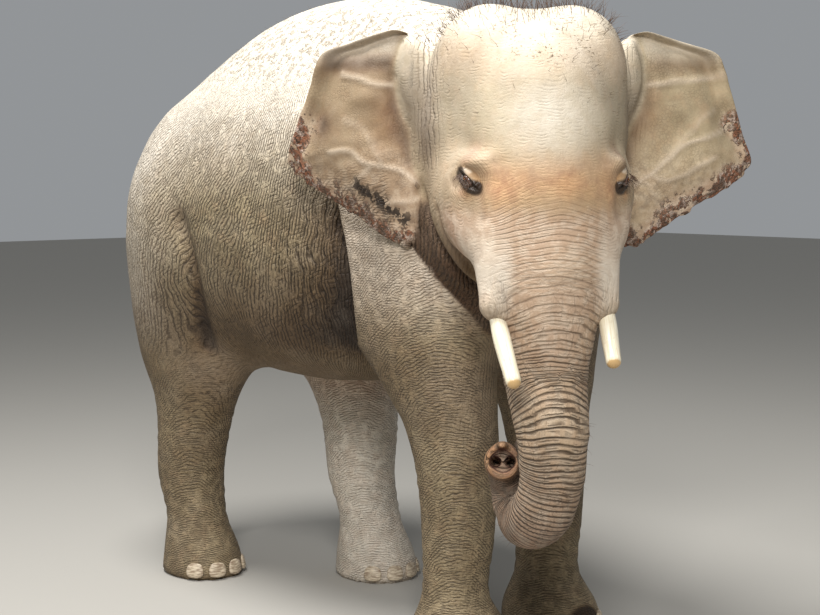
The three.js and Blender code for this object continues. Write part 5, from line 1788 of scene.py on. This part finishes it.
def body_hair(marks):
    """Very sparse short hair over the back, the trunk and the chin."""
    q, p = marks.q, marks.p
    chin = hump(length(q - (0, 0.17, -0.46)), 0, 0.10)
    back = (1 - marks.on_head) * ramp(p[:, 2], 1.9, 2.3)
    density = 2500 * chin + 130 * back + 350 * marks.on_trunk
    roots, ways, rng = scatter(marks, density, 41)
    ways = ways + rng.normal(0, 0.3, ways.shape) + (0, 0.5, -0.1)
    ways /= length(ways)[:, None]
    lengths = rng.uniform(0.014, 0.034, len(roots))
    return strands(roots - HAIR_SUNK * ways, ways, lengths, 0.0006, 0.15, 42), unwrap(roots)


def lash_hair():
    """Lashes in a row along each upper lid, long and drooping."""
    rng = np.random.default_rng(51)
    roots, ways = [], []
    for side in SIDES:
        out, inner, up = EYE_AXES[side]
        count = 84
        t = np.linspace(-0.9, 0.9, count)
        lift = math.radians(25) + 0.06 * rng.normal(size=count)
        arc = np.cos(t * 1.05)
        place = out * (np.cos(lift) * arc)[:, None] + up * (np.sin(lift) * arc)[:, None]
        place = place + inner * (1.2 * np.sin(t * 1.05))[:, None]
        roots.append(EYE_SPOTS[side] + 0.0300 * place)
        way = out * 0.9 - up * 0.25 + inner * (0.5 * t)[:, None]
        way = way + rng.normal(0, 0.12, (count, 3)) - (0, 0, 0.45)
        ways.append(way / length(way)[:, None])
    roots, ways = np.concatenate(roots), np.concatenate(ways)
    lengths = rng.uniform(0.022, 0.040, len(roots))
    return strands(roots, ways, lengths, 0.0006, 0.25, 52), unwrap(roots)


BRUSH_END = 0.490


def tail_hair():
    """The tail's brush: stiff hair from both edges of the end of the tail, hanging no lower than
    BRUSH_END."""
    rng = np.random.default_rng(61)
    count = 620
    s = tail_line.along[-1] - 0.26 * rng.random(count) ** 1.4
    centre, radius, way = tail_line.at(s)
    edge = np.where(rng.random(count) < 0.5, -1, 1)
    turn = edge * math.pi / 2 + rng.normal(0, 0.55, count)
    round_it = np.stack([np.cos(turn), np.sin(turn), 0 * turn], -1)
    roots = centre + (radius * 0.9)[:, None] * round_it
    ways = way + round_it * rng.uniform(0.02, 0.16, count)[:, None]
    ways /= length(ways)[:, None]
    lengths = np.minimum(rng.uniform(0.16, 0.30, count), roots[:, 2] - BRUSH_END)
    at = np.stack([turn / (2 * math.pi) % 1, (s - s.min()) / np.ptp(s)], -1)
    return strands(roots, ways, lengths, 0.0011, 0.10, 62, steps=6, sway=0.07), 0.02 + 0.96 * at


# ---------------------------------------------------------------- putting it together


def dress(thing, material, slot, *replaced):
    """Gives a finished piece its material and lets it ride on the body in place of CAD nodes. The slot is not
    used.
    """
    thing.data.materials.clear()
    thing.data.materials.append(material)
    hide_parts(*replaced)
    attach(thing, "root")
    return thing


skin, extra = make_skin()
marks = finish_skin(skin, extra)
cracks, grooves = cracks_group(), grooves_group()
LEG_SIDES = [pair + "_" + side for pair in ("foreleg", "hindleg", "forefoot", "hindfoot") for side in SIDES]
FLESH_NODES = ["torso", "neck", "head", "lower_jaw", "tail_upper", "tail_lower", "ear_right", "ear_left"]
FLESH_NODES += LEG_SIDES + ["trunk_%d" % n for n in range(1, 6)]
dress(skin, hide_material(cracks, grooves), "hide", *FLESH_NODES)
ivory, horn, hair, eye = ivory_material(), horn_material(), hair_material(), eye_material()
for side in SIDES:
    dress(make_eye(side), eye, "eye", "eye_" + side)
    dress(make_tusk(side), ivory, "ivory", "tusk_" + side)
for leg_name in LEGS:
    pair, side = leg_name.split("_")
    for number in range(NAILS[pair]):
        label = "%s_%s_%d" % (pair, side, number + 1)
        nail = tube_object("toe_" + label, *make_nail(leg_name, number, NAILS[pair]))
        dress(nail, horn, "horn", "nail_" + label)
coat = {"crown_hair": head_hair(marks), "body_hair": body_hair(marks), "lashes": lash_hair()}
for name, (made, at) in coat.items():
    dress(hair_object(name, *made, at), hair, "hair")
made, at = tail_hair()
dress(hair_object("tail_brush", *made, at), hair, "hair", "tail_tuft")

# ---------------------------------------------------------------- floor, light and camera
LENS = {"focal": 68.75, "sensor": 36.0}
CAMERA_AT = np.array([-4.040, -4.690, 1.720])
CAMERA_LOOK = np.array([0.669, 0.743, -0.0878])


def make_floor():
    """A wide level floor at the soles."""
    mesh = bpy.data.meshes.new("floor")
    reach = 30.0
    corners = [(-reach, -reach, 0), (reach, -reach, 0), (reach, reach, 0), (-reach, reach, 0)]
    mesh.from_pydata(corners, [], [(0, 1, 2, 3)])
    mesh.materials.append(floor_material())
    floor = new_object("floor", mesh)


def add_light(name, at, aim, size, power):
    """A round soft light that looks at the aim."""
    lamp = bpy.data.lights.new(name, "AREA")
    lamp.shape = "DISK"
    lamp.size = size
    lamp.energy = power
    thing = bpy.data.objects.new(name, lamp)
    bpy.context.scene.collection.objects.link(thing)
    thing.location = at
    thing.rotation_euler = (Vector(aim) - Vector(at)).to_track_quat("-Z", "Y").to_euler()


def add_camera():
    """The camera, at a standing person's eye level in front of the elephant and to its right."""
    lens = bpy.data.cameras.new("camera")
    lens.lens = LENS["focal"]
    lens.sensor_width = LENS["sensor"]
    thing = bpy.data.objects.new("camera", lens)
    bpy.context.scene.collection.objects.link(thing)
    thing.location = CAMERA_AT + MOVE
    thing.rotation_euler = Vector(CAMERA_LOOK).to_track_quat("-Z", "Y").to_euler()
    bpy.context.scene.camera = thing


def add_world():
    """A pale even sky, and colours shown without a film curve."""
    world = bpy.data.worlds.new("world")
    world.use_nodes = True
    sky = world.node_tree.nodes["Background"]
    sky.inputs[0].default_value = color(226, 230, 234)
    sky.inputs[1].default_value = 0.38
    bpy.context.scene.world = world
    bpy.context.scene.view_settings.view_transform = "Standard"


make_floor()
add_world()
add_light("overhead", (-1.8, 0.2, 7.0), (0, -0.2, 1.4), 2.6, 570)
add_light("front", (-5.4, -5.6, 5.8), (-0.2, -0.8, 1.4), 2.4, 600)
add_camera()
